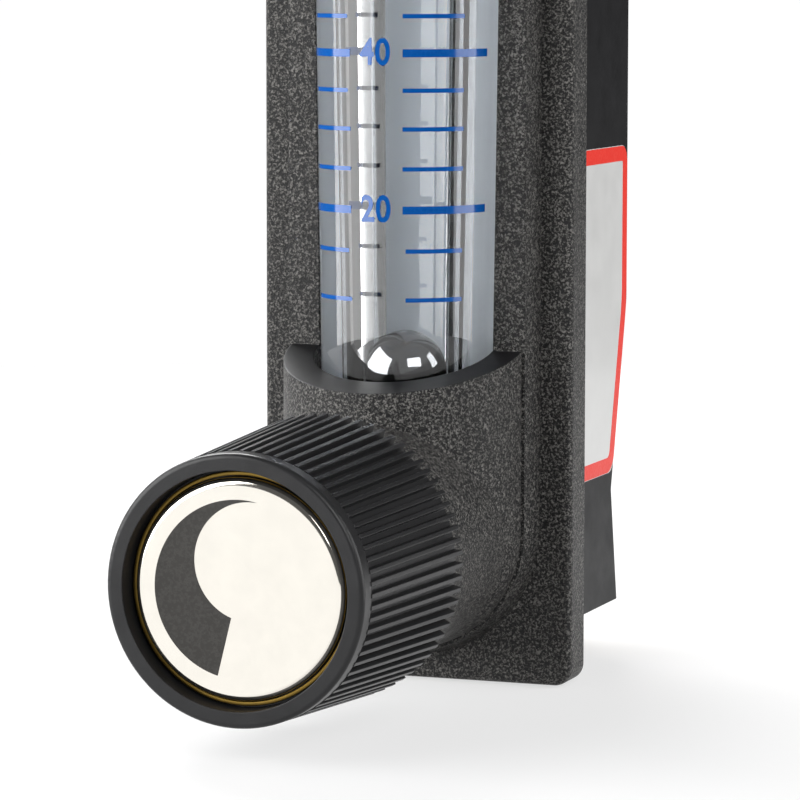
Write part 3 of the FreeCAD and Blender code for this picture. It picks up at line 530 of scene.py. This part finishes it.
@dataclass(frozen=True)
class TurnedMetal:
    """Metal with fine tool lines across the axis that it was turned about."""

    name: str
    colour: Colour
    roughness: tuple[float, float] = (0.18, 0.3)
    axis: Axis = Axis.Y
    line_mm: float = 0.09
    depth_mm: float = 0.003
    edge_mm: float = 0.08
    tarnish: float = 0.2

    def build(self) -> Material:
        """Wire the material and return it."""
        shader = Shader(self.name)
        cloud = shader.noise(1.8, 5.0, 0.6)
        dull = tuple(c * (1.0 - self.tarnish) for c in self.colour)
        shader.tint(cloud, ((0.35, dull), (0.65, self.colour)))
        shader.rough(cloud, *self.roughness)
        shader.plain(Metallic=1.0)
        stretch = [0.04, 0.04, 0.04]
        stretch[self.axis.value] = 1.0
        lines = shader.noise(self.line_mm, 2.0, 0.5, tuple(stretch))
        shader.bump(lines, self.depth_mm, edge_mm=self.edge_mm)
        return shader.material


@dataclass(frozen=True)
class ClearAcrylic:
    """Clear polished acrylic with faint draw marks along the tube."""

    name: str = "clear_acrylic"
    colour: Colour = (0.978, 0.99, 1.0)
    refraction: float = 1.49

    def build(self) -> Material:
        """Wire the material and return it."""
        shader = Shader(self.name)
        shader.plain(Base_Color=self.colour, Roughness=0.0, IOR=self.refraction,
                     Transmission_Weight=1.0)
        draw = shader.noise(0.5, 2.0, 0.5, (1.0, 1.0, 0.02))
        shader.bump(draw, 0.004, 0.6)
        return shader.material


@dataclass(frozen=True)
class PrintInk:
    """Printed ink: thin, even and slightly see-through at its thin spots."""

    name: str
    colour: Colour
    thin: Colour
    roughness: float = 0.35
    specular: float = 0.2
    smoother: float = 0.05
    rougher: float = 0.08

    def build(self) -> Material:
        """Wire the material and return it."""
        shader = Shader(self.name)
        shader.plain(Specular_IOR_Level=self.specular)
        cloud = shader.noise(0.25, 4.0, 0.6)
        shader.tint(cloud, ((0.25, self.thin), (0.55, self.colour)))
        shader.rough(cloud, self.roughness - self.smoother, self.roughness + self.rougher)
        shader.bump(shader.noise(0.08, 3.0, 0.5), 0.002, 0.7)
        return shader.material


@dataclass(frozen=True)
class SealRubber:
    """Matte black rubber with a slight bloom."""

    name: str = "seal_rubber"
    dark: Colour = (0.012, 0.012, 0.012)
    pale: Colour = (0.035, 0.034, 0.033)
    roughness: tuple[float, float] = (0.55, 0.75)

    def build(self) -> Material:
        """Wire the material and return it."""
        shader = Shader(self.name)
        bloom = shader.noise(0.6, 4.0, 0.6)
        shader.tint(bloom, ((0.3, self.dark), (0.75, self.pale)))
        shader.rough(bloom, *self.roughness)
        shader.bump(shader.noise(0.1, 3.0, 0.6), 0.006)
        return shader.material


@dataclass(frozen=True)
class PolishedSteel:
    """A polished ball with the faintest hairlines."""

    name: str = "polished_ball"
    colour: Colour = (0.26, 0.26, 0.265)
    dull: float = 0.92
    roughness: tuple[float, float] = (0.05, 0.08)

    def build(self) -> Material:
        """Wire the material and return it."""
        shader = Shader(self.name)
        cloud = shader.noise(0.9, 4.0, 0.6)
        dull = tuple(c * self.dull for c in self.colour)
        shader.tint(cloud, ((0.3, dull), (0.7, self.colour)))
        shader.rough(cloud, *self.roughness)
        shader.plain(Metallic=1.0)
        shader.bump(shader.noise(0.3, 2.0, 0.5), 0.001, 0.5)
        return shader.material


class Finishes:
    """Every finish of the flowmeter, built once."""

    def __init__(self) -> None:
        """Build the materials."""
        self.grain = GrainedPlastic().build()
        self.case = SmoothPlastic("satin_black", (0.008, 0.008, 0.009), (0.42, 0.52),
                                  specular=0.18).build()
        self.knob = SmoothPlastic("knob_black", (0.016, 0.016, 0.017), (0.28, 0.38),
                                  depth_mm=0.008, edge_mm=0.1, specular=0.3).build()
        self.backing = SmoothPlastic("pale_backing", (0.87, 0.925, 0.985), (0.5, 0.6),
                                     0.015).build()
        self.label = SmoothPlastic("label_white", (0.72, 0.72, 0.71), (0.3, 0.4), 0.03,
                                   coat=0.25).build()
        self.insert = SmoothPlastic("natural_acetal", (0.68, 0.68, 0.64), (0.35, 0.5),
                                    0.05).build()
        self.acrylic = ClearAcrylic().build()
        self.brass = TurnedMetal("turned_brass", (0.72, 0.52, 0.24)).build()
        self.plug = TurnedMetal("turned_brass_plug", (0.72, 0.52, 0.24), axis=Axis.Z).build()
        self.gold = TurnedMetal("dark_gold_ring", (0.20, 0.13, 0.03), (0.3, 0.45)).build()
        self.screw = TurnedMetal("zinc_screw", (0.62, 0.62, 0.64), tarnish=0.12).build()
        self.disc = TurnedMetal("pale_gold_disc", (0.86, 0.826, 0.755), (0.06, 0.1),
                                line_mm=0.3, depth_mm=0.0004, edge_mm=0.05,
                                tarnish=0.04).build()
        self.ball = PolishedSteel().build()
        self.rubber = SealRubber().build()
        self.blue = PrintInk("scale_blue", (0.0, 0.078, 0.34), (0.005, 0.1, 0.4),
                             0.09, 0.5).build()
        self.charcoal = PrintInk("mark_charcoal", (0.041, 0.039, 0.036), (0.07, 0.067, 0.063),
                                 0.3).build()
        self.red = PrintInk("border_red", (0.90, 0.045, 0.03), (0.93, 0.07, 0.05)).build()


# Sub-assemblies


@dataclass
class CadDress:
    """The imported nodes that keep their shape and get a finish."""

    finishes: Finishes
    plan: dict[str, str] = field(default_factory=lambda: {
        "bezel": "grain", "flow_body": "acrylic", "rear_case": "case", "side_label": "label",
        "backing_strip": "backing", "inlet_adapter": "brass", "outlet_adapter": "brass",
        "inlet_ring": "rubber", "outlet_ring": "rubber", "case_screws": "screw",
        "float_ball": "ball", "float_seat": "insert", "float_stop": "insert",
        "top_plug": "plug", "plug_ring": "rubber", "valve_seat": "brass",
        "valve_bush": "brass", "bush_ring": "rubber", "stem_ring": "rubber",
        "valve_stem": "brass", "knob": "knob", "knob_insert": "disc", "knob_screw": "screw",
    })

    def build(self) -> None:
        """Put each node's finish in its material slots."""
        for name, finish in self.plan.items():
            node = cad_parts[name]
            node.data.materials.clear()
            node.data.materials.append(getattr(self.finishes, finish))
            LOG.info("node %s: finish %s", name, finish)


@dataclass
class ClearBody:
    """The clear moulded flow body: slab, neck, tapered tube, valve block and passages."""

    finishes: Finishes
    facets: int = 160
    slab_half: float = 9.6
    slab_front: float = -0.8
    slab_back: float = 10.0
    slab_low: float = 6.0
    slab_high: float = 116.2
    slab_edge: float = 0.4
    neck_back: float = 0.5
    block_radius: float = 7.0
    block_back: float = 0.5
    block_front: float = -14.0
    hole_facets: int = 96
    over: float = 1.0
    overlap: float = 0.1
    seat_base: float = 19.2
    seat_top: float = 22.2
    seat_radius: float = 3.6
    riser_radius: float = 1.6
    bore_low: float = 3.25
    bore_top: float = 4.25
    stop_height: float = 98.0
    counterbore: float = 4.7
    port_radius: float = 5.6
    port_floor: float = 3.0
    passage_radius: float = 1.5
    passage_height: float = 105.7
    valve_steps: tuple[tuple[float, float, float], ...] = (
        (3.1, -1.1, 1.5), (-1.0, -8.4, 2.6), (-8.3, -12.8, 4.0), (-12.75, -15.0, 5.3),
    )
    core_half: float = 5.5
    core_low: float = 19.5
    core_high: float = 102.7
    core_front: float = 0.3
    screw_x: float = 7.3
    screw_z: float = 61.1
    screw_hole: tuple[float, float, float] = (4.5, 11.0, 1.05)

    def upright(self, name: str, low: float, high: float, low_radius: float,
                top_radius: float) -> Object:
        """A tapered round solid along the tube's axis.

        Args:
            name: The solid's name.
            low: Its lower end.
            high: Its upper end.
            low_radius: Its radius at the lower end.
            top_radius: Its radius at the upper end.

        Returns:
            The solid.
        """
        Bench.clear()
        bpy.ops.mesh.primitive_cone_add(
            vertices=self.facets, radius1=low_radius * MM, radius2=top_radius * MM,
            depth=(high - low) * MM, location=metres((0.0, TUBE_AXIS_Y, (low + high) / 2)))
        return Bench.take(name)

    def neck(self) -> Object:
        """The tapered web that joins the tube to the slab."""
        web = Bench.box("tube_neck", (-TUBE_LOW_RADIUS, TUBE_AXIS_Y, TUBE_LOW),
                        (TUBE_LOW_RADIUS, self.neck_back, TUBE_TOP))
        Bench.edit(web)
        Bench.pick(web, "faces", lambda face: face.normal.z > SQUARE)
        bpy.ops.transform.resize(value=(TUBE_TOP_RADIUS / TUBE_LOW_RADIUS, 1.0, 1.0),
                                 center_override=metres((0.0, 0.0, TUBE_TOP)))
        Bench.done()
        return web

    def outside(self) -> Object:
        """The body's outside as one solid."""
        body = Bench.box("clear_flow_body", (-self.slab_half, self.slab_front, self.slab_low),
                         (self.slab_half, self.slab_back, self.slab_high))
        Bench.apply(body, "BEVEL", width=self.slab_edge * MM, segments=3)
        Bench.cut(body, Bench.rod("valve_block", self.block_back, self.block_front,
                                  (0.0, VALVE_HEIGHT), self.block_radius, self.hole_facets),
                  "UNION")
        Bench.cut(body, self.neck(), "UNION")
        Bench.cut(body, self.upright("tube_outside", TUBE_LOW, TUBE_TOP, TUBE_LOW_RADIUS,
                                     TUBE_TOP_RADIUS), "UNION")
        return body

    def hollow(self, body: Object) -> None:
        """Cut the bores, the passages, the rear pocket and the screw holes."""
        slope = (self.bore_top - self.bore_low) / (self.stop_height - self.seat_top)
        for name, low, high, low_radius, top_radius in (
            ("riser", VALVE_HEIGHT, self.seat_base + self.overlap, self.riser_radius,
             self.riser_radius),
            ("seat_pocket", self.seat_base, self.seat_top, self.seat_radius, self.seat_radius),
            ("float_bore", self.seat_top - self.overlap, self.stop_height + self.overlap,
             self.bore_low - self.overlap * slope, self.bore_top + self.overlap * slope),
            ("plug_bore", self.stop_height, TUBE_TOP + self.over, self.counterbore,
             self.counterbore),
        ):
            Bench.cut(body, self.upright(name, low, high, low_radius, top_radius))
        pocket = (self.slab_back + self.over, self.port_floor)
        front, back, hole_radius = self.screw_hole
        steps = [(f"valve_step_{index}", *step[:2], (0.0, VALVE_HEIGHT), step[2])
                 for index, step in enumerate(self.valve_steps)]
        steps += [
            ("inlet_pocket", *pocket, (0.0, VALVE_HEIGHT), self.port_radius),
            ("outlet_pocket", *pocket, (0.0, OUTLET_HEIGHT), self.port_radius),
            ("outlet_passage", self.port_floor + self.overlap, TUBE_AXIS_Y,
             (0.0, self.passage_height), self.passage_radius),
        ]
        for step in steps:
            Bench.cut(body, Bench.rod(*step, self.hole_facets))
        Bench.cut(body, Bench.box("rear_pocket", (-self.core_half, self.core_front, self.core_low),
                                  (self.core_half, self.slab_back + self.over, self.core_high)))
        for side in (-self.screw_x, self.screw_x):
            Bench.cut(body, Bench.rod("screw_hole", back, front, (side, self.screw_z),
                                      hole_radius, self.hole_facets))

    def build(self) -> None:
        """Model the body and let it stand for its CAD node."""
        body = self.outside()
        self.hollow(body)
        Bench.outward(body)
        Bench.smooth(body, degrees=24.0)
        Bench.finish(body, self.finishes.acrylic, Body.HOUSING, "clear_body", ("flow_body",))


@dataclass
class PortThread:
    """The pipe thread that winds round the wall of a port's bore."""

    finishes: Finishes
    name: str
    mouth_y: float
    height: float
    bore_radius: float = 4.37
    ridge: float = 0.3
    buried: float = 0.06
    pitch: float = 0.94
    turns: int = 7
    start: float = 0.7
    steps: int = 48

    def build(self) -> None:
        """Wind the ridge as a screw and place it in its port."""
        Bench.clear()
        # A ridge is half of an even triangle, which is 1.5 times its corner radius high
        corner = 2 * (self.ridge / 1.5)
        bpy.ops.mesh.primitive_circle_add(
            vertices=3, radius=corner * MM, fill_type="NOTHING",
            location=metres((self.bore_radius + self.buried - self.ridge + corner, 0.0, 0.0)),
            rotation=(0.0, 0.0, math.radians(90.0)))
        thread = Bench.take(self.name)
        Bench.apply(thread, "SCREW", axis="Y", angle=math.tau * self.turns,
                    screw_offset=self.pitch * self.turns * MM, iterations=1,
                    steps=self.steps * self.turns, render_steps=self.steps * self.turns,
                    use_merge_vertices=False)
        Bench.edit_all(thread, "EDGE")
        bpy.ops.mesh.fill_holes(sides=3)
        Bench.done()
        thread.location = metres((0.0, self.mouth_y - self.start - self.pitch * self.turns,
                                  self.height))
        bpy.ops.object.transform_apply()
        Bench.outward(thread)
        Bench.smooth(thread, degrees=40.0)
        Bench.finish(thread, self.finishes.brass, Body.HOUSING, "port_brass")


@dataclass
class DiscFace:
    """The polished disc in the knob, with its rim rolled over."""

    finishes: Finishes
    radius: float = 7.9
    back: float = -38.3
    front: float = -39.6
    roll: float = 0.5
    flat_edge: float = 0.1
    facets: int = 160

    def build(self) -> None:
        """Model the disc from a circle: fill, push out, roll the rim."""
        disc = Bench.round_face("disc_face", self.back, self.radius, self.facets)
        Bench.edit_all(disc)
        bpy.ops.mesh.extrude_region_move(
            TRANSFORM_OT_translate={"value": metres((0.0, self.front - self.back, 0.0))})
        Bench.done()
        Bench.edit(disc, "EDGE")
        rim = self.front * MM + HAIR
        Bench.pick(disc, "edges", lambda edge: all(v.co.y < rim for v in edge.verts))
        bpy.ops.mesh.bevel(offset=self.roll * MM, segments=8)
        bpy.ops.mesh.select_mode(type="FACE")
        bpy.ops.mesh.select_all(action="DESELECT")
        Bench.pick(disc, "faces", lambda face: face.normal.y < -SQUARE)
        bpy.ops.mesh.inset(thickness=self.flat_edge * MM, use_even_offset=True)
        Bench.done()
        Bench.outward(disc)
        Bench.smooth(disc, degrees=40.0)
        Bench.finish(disc, self.finishes.disc, Body.SPINDLE, "knob_disc", ("knob_insert",))


@dataclass
class DiscRing:
    """The thin gold ring that holds the disc in the knob."""

    finishes: Finishes
    centre_y: float = -38.85
    outer_radius: float = 8.3
    inner_radius: float = 7.98
    thickness: float = 0.3
    edge: float = 0.08
    facets: int = 128

    def build(self) -> None:
        """Model the ring from a circle: fill, inset, open, thicken and round."""
        ring = Bench.round_face("disc_ring", self.centre_y, self.outer_radius, self.facets)
        Bench.edit_all(ring)
        bpy.ops.mesh.inset(thickness=(self.outer_radius - self.inner_radius) * MM,
                           use_even_offset=True)
        bpy.ops.mesh.delete(type="FACE")
        Bench.done()
        Bench.apply(ring, "SOLIDIFY", thickness=self.thickness * MM, offset=0.0)
        Bench.apply(ring, "BEVEL", width=self.edge * MM, segments=3, limit_method="ANGLE")
        Bench.outward(ring)
        Bench.smooth(ring, degrees=40.0)
        Bench.finish(ring, self.finishes.gold, Body.SPINDLE, "valve_brass")


@dataclass
class CaseScrews:
    """The two pan-head screws of the rear case, with cross recesses."""

    finishes: Finishes
    side: float = 7.3
    height: float = 61.1
    head_front: float = 16.7
    head_back: float = 18.0
    head_radius: float = 1.9
    head_edge: float = 0.45
    shank_front: float = 5.0
    shank_radius: float = 1.0
    overlap: float = 0.1
    recess_depth: float = 0.8
    recess_length: float = 2.1
    recess_width: float = 0.5
    facets: int = 48

    def build(self) -> None:
        """Model one screw, copy it to the other side and join the pair."""
        place = (self.side, self.height)
        screw = Bench.rod("case_screw_pair", self.head_back, self.head_front, place,
                          self.head_radius, self.facets)
        Bench.edit(screw, "EDGE")
        rim = self.head_back * MM - HAIR
        Bench.pick(screw, "edges", lambda edge: all(v.co.y > rim for v in edge.verts))
        bpy.ops.mesh.bevel(offset=self.head_edge * MM, segments=4)
        Bench.done()
        Bench.cut(screw, Bench.rod("shank", self.head_front + self.overlap, self.shank_front,
                                   place, self.shank_radius, self.facets), "UNION")
        for wide, tall in ((self.recess_length, self.recess_width),
                           (self.recess_width, self.recess_length)):
            reach = Vector((wide / 2, self.recess_depth, tall / 2))
            middle = Vector((self.side, self.head_back, self.height))
            Bench.cut(screw, Bench.box("recess_bar", middle - reach, middle + reach))
        Bench.outward(screw)
        Bench.only(screw)
        bpy.ops.object.duplicate()
        other = bpy.context.object
        other.location.x -= 2 * self.side * MM
        bpy.ops.object.transform_apply()
        Bench.only(screw)
        other.select_set(True)
        bpy.ops.object.join()
        Bench.smooth(screw)
        Bench.finish(screw, self.finishes.screw, Body.HOUSING, "screw_steel", ("case_screws",))


@dataclass
class TubeScale:
    """The blue graduations and digits printed on the tube's front."""

    finishes: Finishes
    first_value: int = 10
    value_step: int = 5
    major_every: int = 20
    first_heights: tuple[float, ...] = (30.4, 34.1, 37.2, 40.3, 43.3, 46.2, 49.0)
    later_steps: int = 12
    later_step: float = 2.8
    step_loss: float = 0.025
    lift: float = 0.01
    ink: float = 0.02
    minor_thickness: float = 0.33
    major_thickness: float = 0.6
    inner_angle: float = 19.0
    minor_angle: float = 60.0
    major_angle: float = 84.0
    facets: int = 180
    digit_height: float = 1.95
    digit_width: float = 0.86
    digit_weight: float = 0.06
    digit_spacing: float = 1.05
    cap_share: float = 0.7
    slice_width: float = 0.35
    slices: int = 6

    def radius_at(self, height: float) -> float:
        """The tube's outer radius at a height."""
        share = (height - TUBE_LOW) / (TUBE_TOP - TUBE_LOW)
        return TUBE_LOW_RADIUS + share * (TUBE_TOP_RADIUS - TUBE_LOW_RADIUS)

    def heights(self) -> list[float]:
        """The heights of every graduation, from 10 upwards in steps of 5."""
        places = list(self.first_heights)
        for index in range(self.later_steps):
            places.append(places[-1] + self.later_step - self.step_loss * (index + 1))
        return places

    def mark(self, name: str, height: float, thickness: float, reach: float) -> Object:
        """One pair of curved bars, left and right of the digits' place.

        Args:
            name: The piece's name.
            height: The bars' middle height.
            thickness: Their height.
            reach: The outer angle from the front.

        Returns:
            The pair as one mesh.
        """
        Bench.clear()
        base = self.radius_at(height - thickness / 2) + self.lift
        crown = self.radius_at(height + thickness / 2) + self.lift
        bpy.ops.mesh.primitive_cone_add(
            vertices=self.facets, radius1=base * MM, radius2=crown * MM,
            depth=thickness * MM, end_fill_type="NOTHING",
            location=metres((0.0, TUBE_AXIS_Y, height)))
        bar = Bench.take(name)
        Bench.edit(bar)

        def outside(face: Face) -> bool:
            """Whether a face lies outside both bars."""
            middle = face.calc_center_median()
            angle = math.degrees(math.atan2(abs(middle.x), TUBE_AXIS_Y * MM - middle.y))
            return not self.inner_angle <= angle <= reach

        Bench.pick(bar, "faces", outside)
        bpy.ops.mesh.delete(type="FACE")
        Bench.done()
        Bench.apply(bar, "SOLIDIFY", thickness=self.ink * MM, offset=1.0)
        Bench.smooth(bar)
        return bar

    def digits(self, value: int, height: float) -> Object:
        """The digits of one major graduation, laid on the tube.

        Args:
            value: The number to print.
            height: Its middle height.

        Returns:
            The digits as one mesh.
        """
        Bench.clear()
        bpy.ops.object.text_add(location=(0.0, 0.0, 0.0))
        text = bpy.context.object
        text.data.body = str(value)
        text.data.align_x = "CENTER"
        text.data.align_y = "CENTER"
        text.data.size = self.digit_height / self.cap_share * MM
        text.data.offset = self.digit_weight * MM
        text.data.space_character = self.digit_spacing
        text.data.resolution_u = 8
        bpy.ops.object.convert(target="MESH")
        text.rotation_euler = FACING_Y
        text.location = metres((0.0, TUBE_AXIS_Y, height))
        text.scale = (self.digit_width, 1.0, 1.0)
        digits = Bench.take(f"scale_digits_{value}")
        Bench.edit_all(digits)
        bpy.ops.mesh.remove_doubles(threshold=HAIR)
        for index in range(-self.slices, self.slices + 1):
            bpy.ops.mesh.select_all(action="SELECT")
            bpy.ops.mesh.bisect(plane_co=metres((self.slice_width * index, 0.0, height)),
                                plane_no=(1.0, 0.0, 0.0))
        Bench.done()
        for vertex in digits.data.vertices:
            place = vertex.co / MM
            radius = self.radius_at(place.z) + self.lift
            angle = place.x / radius
            vertex.co = metres((radius * math.sin(angle),
                                TUBE_AXIS_Y - radius * math.cos(angle), place.z))
        Bench.apply(digits, "SOLIDIFY", thickness=self.ink * MM, offset=1.0)
        Bench.outward(digits)
        Bench.smooth(digits)
        return digits

    def build(self) -> None:
        """Print every graduation and number."""
        for index, height in enumerate(self.heights()):
            value = self.first_value + self.value_step * index
            major = value % self.major_every == 0
            thickness = self.major_thickness if major else self.minor_thickness
            reach = self.major_angle if major else self.minor_angle
            bar = self.mark(f"scale_mark_{value}", height, thickness, reach)
            Bench.finish(bar, self.finishes.blue, Body.HOUSING, "clear_body")
            if major:
                digits = self.digits(value, height)
                Bench.finish(digits, self.finishes.blue, Body.HOUSING, "clear_body")


@dataclass
class DiscMark:
    """The widening crescent printed on the knob's disc."""

    finishes: Finishes
    disc_front: float = -39.6
    lift: float = 0.01
    ink: float = 0.03
    outer_radius: float = 6.35
    inner_radius: float = 4.25
    inner_x: float = 0.91
    inner_z: float = 1.97
    end_x: float = -0.5
    end_z: float = -1.9
    foot_x: float = -1.54
    foot_z: float = -5.95
    over: float = 0.135
    facets: int = 160

    def build(self) -> None:
        """Cut the crescent from a round slab and print it."""
        back = self.disc_front - self.lift
        front = back - self.ink
        mark = Bench.rod("disc_crescent", back, front, (0.0, VALVE_HEIGHT), self.outer_radius,
                         self.facets)
        Bench.cut(mark, Bench.rod("crescent_hollow", back + self.over, front - self.over,
                                  (self.inner_x, VALVE_HEIGHT + self.inner_z),
                                  self.inner_radius, self.facets))
        foot = Vector((self.foot_x, 0.0, self.foot_z))
        end = Vector((self.end_x, 0.0, self.end_z))
        along = (end - foot).normalized()
        Bench.edit_all(mark)
        bpy.ops.mesh.bisect(plane_co=metres((end.x, self.disc_front, VALVE_HEIGHT + end.z)),
                            plane_no=(along.z, 0.0, -along.x), clear_outer=True, use_fill=True)
        Bench.done()
        Bench.outward(mark)
        Bench.finish(mark, self.finishes.charcoal, Body.SPINDLE, "knob_disc")


@dataclass
class LabelBorder:
    """The red border round the blank white label on the case's side."""

    finishes: Finishes
    face_x: float = 11.28
    lift: float = 0.01
    ink: float = 0.02
    width: float = 1.2
    corner: float = 1.4
    outline: tuple[tuple[float, float], ...] = (
        (0.85, 15.05), (11.85, 15.05), (15.35, 28.5), (15.35, 41.15), (0.85, 41.15),
    )

    def build(self) -> None:
        """Model the border as a thin ring that follows the label's outline."""
        Bench.clear()
        bpy.ops.mesh.primitive_circle_add(vertices=len(self.outline), fill_type="NGON")
        border = Bench.take("label_border")
        for vertex, (y, z) in zip(border.data.vertices, self.outline):
            vertex.co = metres((self.face_x + self.lift, y, z))
        Bench.edit_all(border, "VERT")
        bpy.ops.mesh.bevel(offset=self.corner * MM, segments=8, affect="VERTICES")
        bpy.ops.mesh.select_mode(type="FACE")
        bpy.ops.mesh.select_all(action="SELECT")
        bpy.ops.mesh.normals_make_consistent(inside=False)
        bpy.ops.mesh.inset(thickness=self.width * MM, use_even_offset=True)
        bpy.ops.mesh.delete(type="FACE")
        Bench.done()
        Bench.apply(border, "SOLIDIFY", thickness=self.ink * MM, offset=0.0)
        Bench.outward(border)
        Bench.finish(border, self.finishes.red, Body.HOUSING, "label_face")


# Studio


@dataclass(frozen=True)
class SoftBox:
    """A soft box that faces the meter's middle.

    Degrees, metres and watts, with the azimuth counted from -Y towards +X. The aim is
    in millimetres.
    """

    name: str
    azimuth: float
    elevation: float
    distance: float
    width: float
    height: float
    power: float
    aim: Point = (0.0, -6.0, 45.0)

    def build(self) -> None:
        """Place the lamp."""
        data = bpy.data.lights.new(self.name, "AREA")
        data.shape = "RECTANGLE"
        data.size = self.width
        data.size_y = self.height
        data.energy = self.power
        lamp = bpy.data.objects.new(self.name, data)
        bpy.context.scene.collection.objects.link(lamp)
        angle, rise = math.radians(self.azimuth), math.radians(self.elevation)
        away = Vector((math.sin(angle) * math.cos(rise), -math.cos(angle) * math.cos(rise),
                       math.sin(rise)))
        lamp.location = metres(self.aim) + away * self.distance
        lamp.rotation_euler = away.to_track_quat("Z", "Y").to_euler()


@dataclass
class Studio:
    """The floor, the lamps, the world and the camera.

    The camera's place is in millimetres, the table and the card are in metres.
    """

    camera_place: Point = (106.707, -296.158, 55.417)
    camera_right: Point = (0.93813689, 0.34646370, 0.00079541)
    camera_up: Point = (-0.03779036, 0.10010199, 0.99425926)
    camera_forward: Point = (-0.34419627, 0.93278135, -0.1069948)
    lens: float = 181.026
    table_radius: float = 0.25
    table_thickness: float = 0.01
    table_gap: float = 0.0002
    table_glow: float = 0.63
    table_diffuse: float = 0.32
    card_distance: float = 3.3
    card_size: float = 1.2
    card_glow: float = 1.0
    card_diffuse: float = 0.05
    plain_grey: float = 0.2
    world_light: float = 0.1
    lamps: tuple[SoftBox, ...] = (
        SoftBox("right_box", 104.5, 14.0, 0.6, 0.40, 0.5, 2.35),
        SoftBox("left_box", -55.0, 13.0, 0.6, 0.78, 0.6, 8.2),
        SoftBox("front_box", 42.0, 28.0, 0.7, 0.4, 0.3, 2.3),
        SoftBox("top_box", -140.0, 42.0, 0.6, 0.4, 0.3, 4.5),
    )

    def build_camera(self) -> None:
        """Place the camera at the photograph's viewing angle."""
        data = bpy.data.cameras.new("camera")
        data.sensor_fit = "HORIZONTAL"
        data.sensor_width = 36.0
        data.lens = self.lens
        data.clip_start = 0.01
        camera = bpy.data.objects.new("camera", data)
        bpy.context.scene.collection.objects.link(camera)
        right, up = Vector(self.camera_right), Vector(self.camera_up)
        turn = Matrix((right, up, -Vector(self.camera_forward))).transposed()
        camera.matrix_world = Matrix.Translation(metres(self.camera_place)) @ turn.to_4x4()
        bpy.context.scene.camera = camera

    def shown_white(self, name: str, glow: float, diffuse: float) -> Material:
        """A pale material that the camera, metal and glass see as white.

        Args:
            name: The material's name.
            glow: The brightness added for those rays.
            diffuse: The part of it that still takes light and shadow.

        Returns:
            The material.
        """
        shader = Shader(name)
        shader.plain(Base_Color=(self.plain_grey,) * 3, Roughness=0.9)
        paths = shader.add("ShaderNodeLightPath").outputs
        either = shader.compute("MAXIMUM", paths["Is Camera Ray"], paths["Is Glossy Ray"])
        shown = shader.compute("MAXIMUM", either, paths["Is Transmission Ray"])
        light = shader.add("ShaderNodeEmission", {"Strength": glow})
        seen = shader.add("ShaderNodeBsdfDiffuse", {"Color": (diffuse, diffuse, diffuse, 1.0)})
        both = shader.add("ShaderNodeAddShader", {
            0: light.outputs["Emission"], 1: seen.outputs["BSDF"]})
        mix = shader.add("ShaderNodeMixShader", {
            "Fac": shown, 1: shader.surface.outputs["BSDF"], 2: both.outputs["Shader"]})
        shader.link(mix.outputs["Shader"], shader.tree.nodes["Material Output"].inputs["Surface"])
        return shader.material

    def build_floor(self) -> None:
        """A pale table top that shows white and keeps the meter's shadow."""
        Bench.clear()
        bpy.ops.mesh.primitive_cylinder_add(
            vertices=96, radius=self.table_radius, depth=self.table_thickness,
            location=(0.0, 0.0, -self.table_thickness / 2 - self.table_gap))
        table = Bench.take("table_top")
        table.data.materials.append(
            self.shown_white("table_white", self.table_glow, self.table_diffuse))

    def build_backdrop(self) -> None:
        """A white card behind the meter, square to the camera."""
        Bench.clear()
        bpy.ops.mesh.primitive_plane_add(size=self.card_size)
        forward = Vector(self.camera_forward)
        place = metres(self.camera_place) + forward * self.card_distance
        turn = (-forward).to_track_quat("Z", "Y").to_matrix().to_4x4()
        bpy.context.object.matrix_world = Matrix.Translation(place) @ turn
        card = Bench.take("white_card")
        card.data.materials.append(
            self.shown_white("card_white", self.card_glow, self.card_diffuse))

    def build_world(self) -> None:
        """A plain grey surround that shows white behind the meter."""
        world = bpy.data.worlds.new("studio")
        bpy.context.scene.world = world
        world.use_nodes = True
        tree = world.node_tree
        back = tree.nodes["Background"]
        paths = tree.nodes.new("ShaderNodeLightPath")
        blend = tree.nodes.new("ShaderNodeMapRange")
        blend.inputs["To Min"].default_value = self.world_light
        tree.links.new(paths.outputs["Is Camera Ray"], blend.inputs["Value"])
        back.inputs["Color"].default_value = (1.0, 1.0, 1.0, 1.0)
        tree.links.new(blend.outputs["Result"], back.inputs["Strength"])

    def build(self) -> None:
        """Set up the whole studio."""
        self.build_camera()
        self.build_floor()
        self.build_backdrop()
        self.build_world()
        for lamp in self.lamps:
            lamp.build()
        bpy.context.scene.view_settings.view_transform = "Standard"


def main() -> None:
    """Build the flowmeter's looks and its studio."""
    logging.basicConfig(level=logging.INFO, format="%(message)s")
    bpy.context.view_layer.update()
    Studio().build()
    finishes = Finishes()
    for part in (
        CadDress(finishes), ClearBody(finishes),
        PortThread(finishes, "inlet_thread", 22.9, VALVE_HEIGHT),
        PortThread(finishes, "outlet_thread", 25.1, OUTLET_HEIGHT),
        DiscFace(finishes), DiscRing(finishes), CaseScrews(finishes), TubeScale(finishes),
        DiscMark(finishes), LabelBorder(finishes),
    ):
        part.build()


if __name__ == "__main__":
    main()
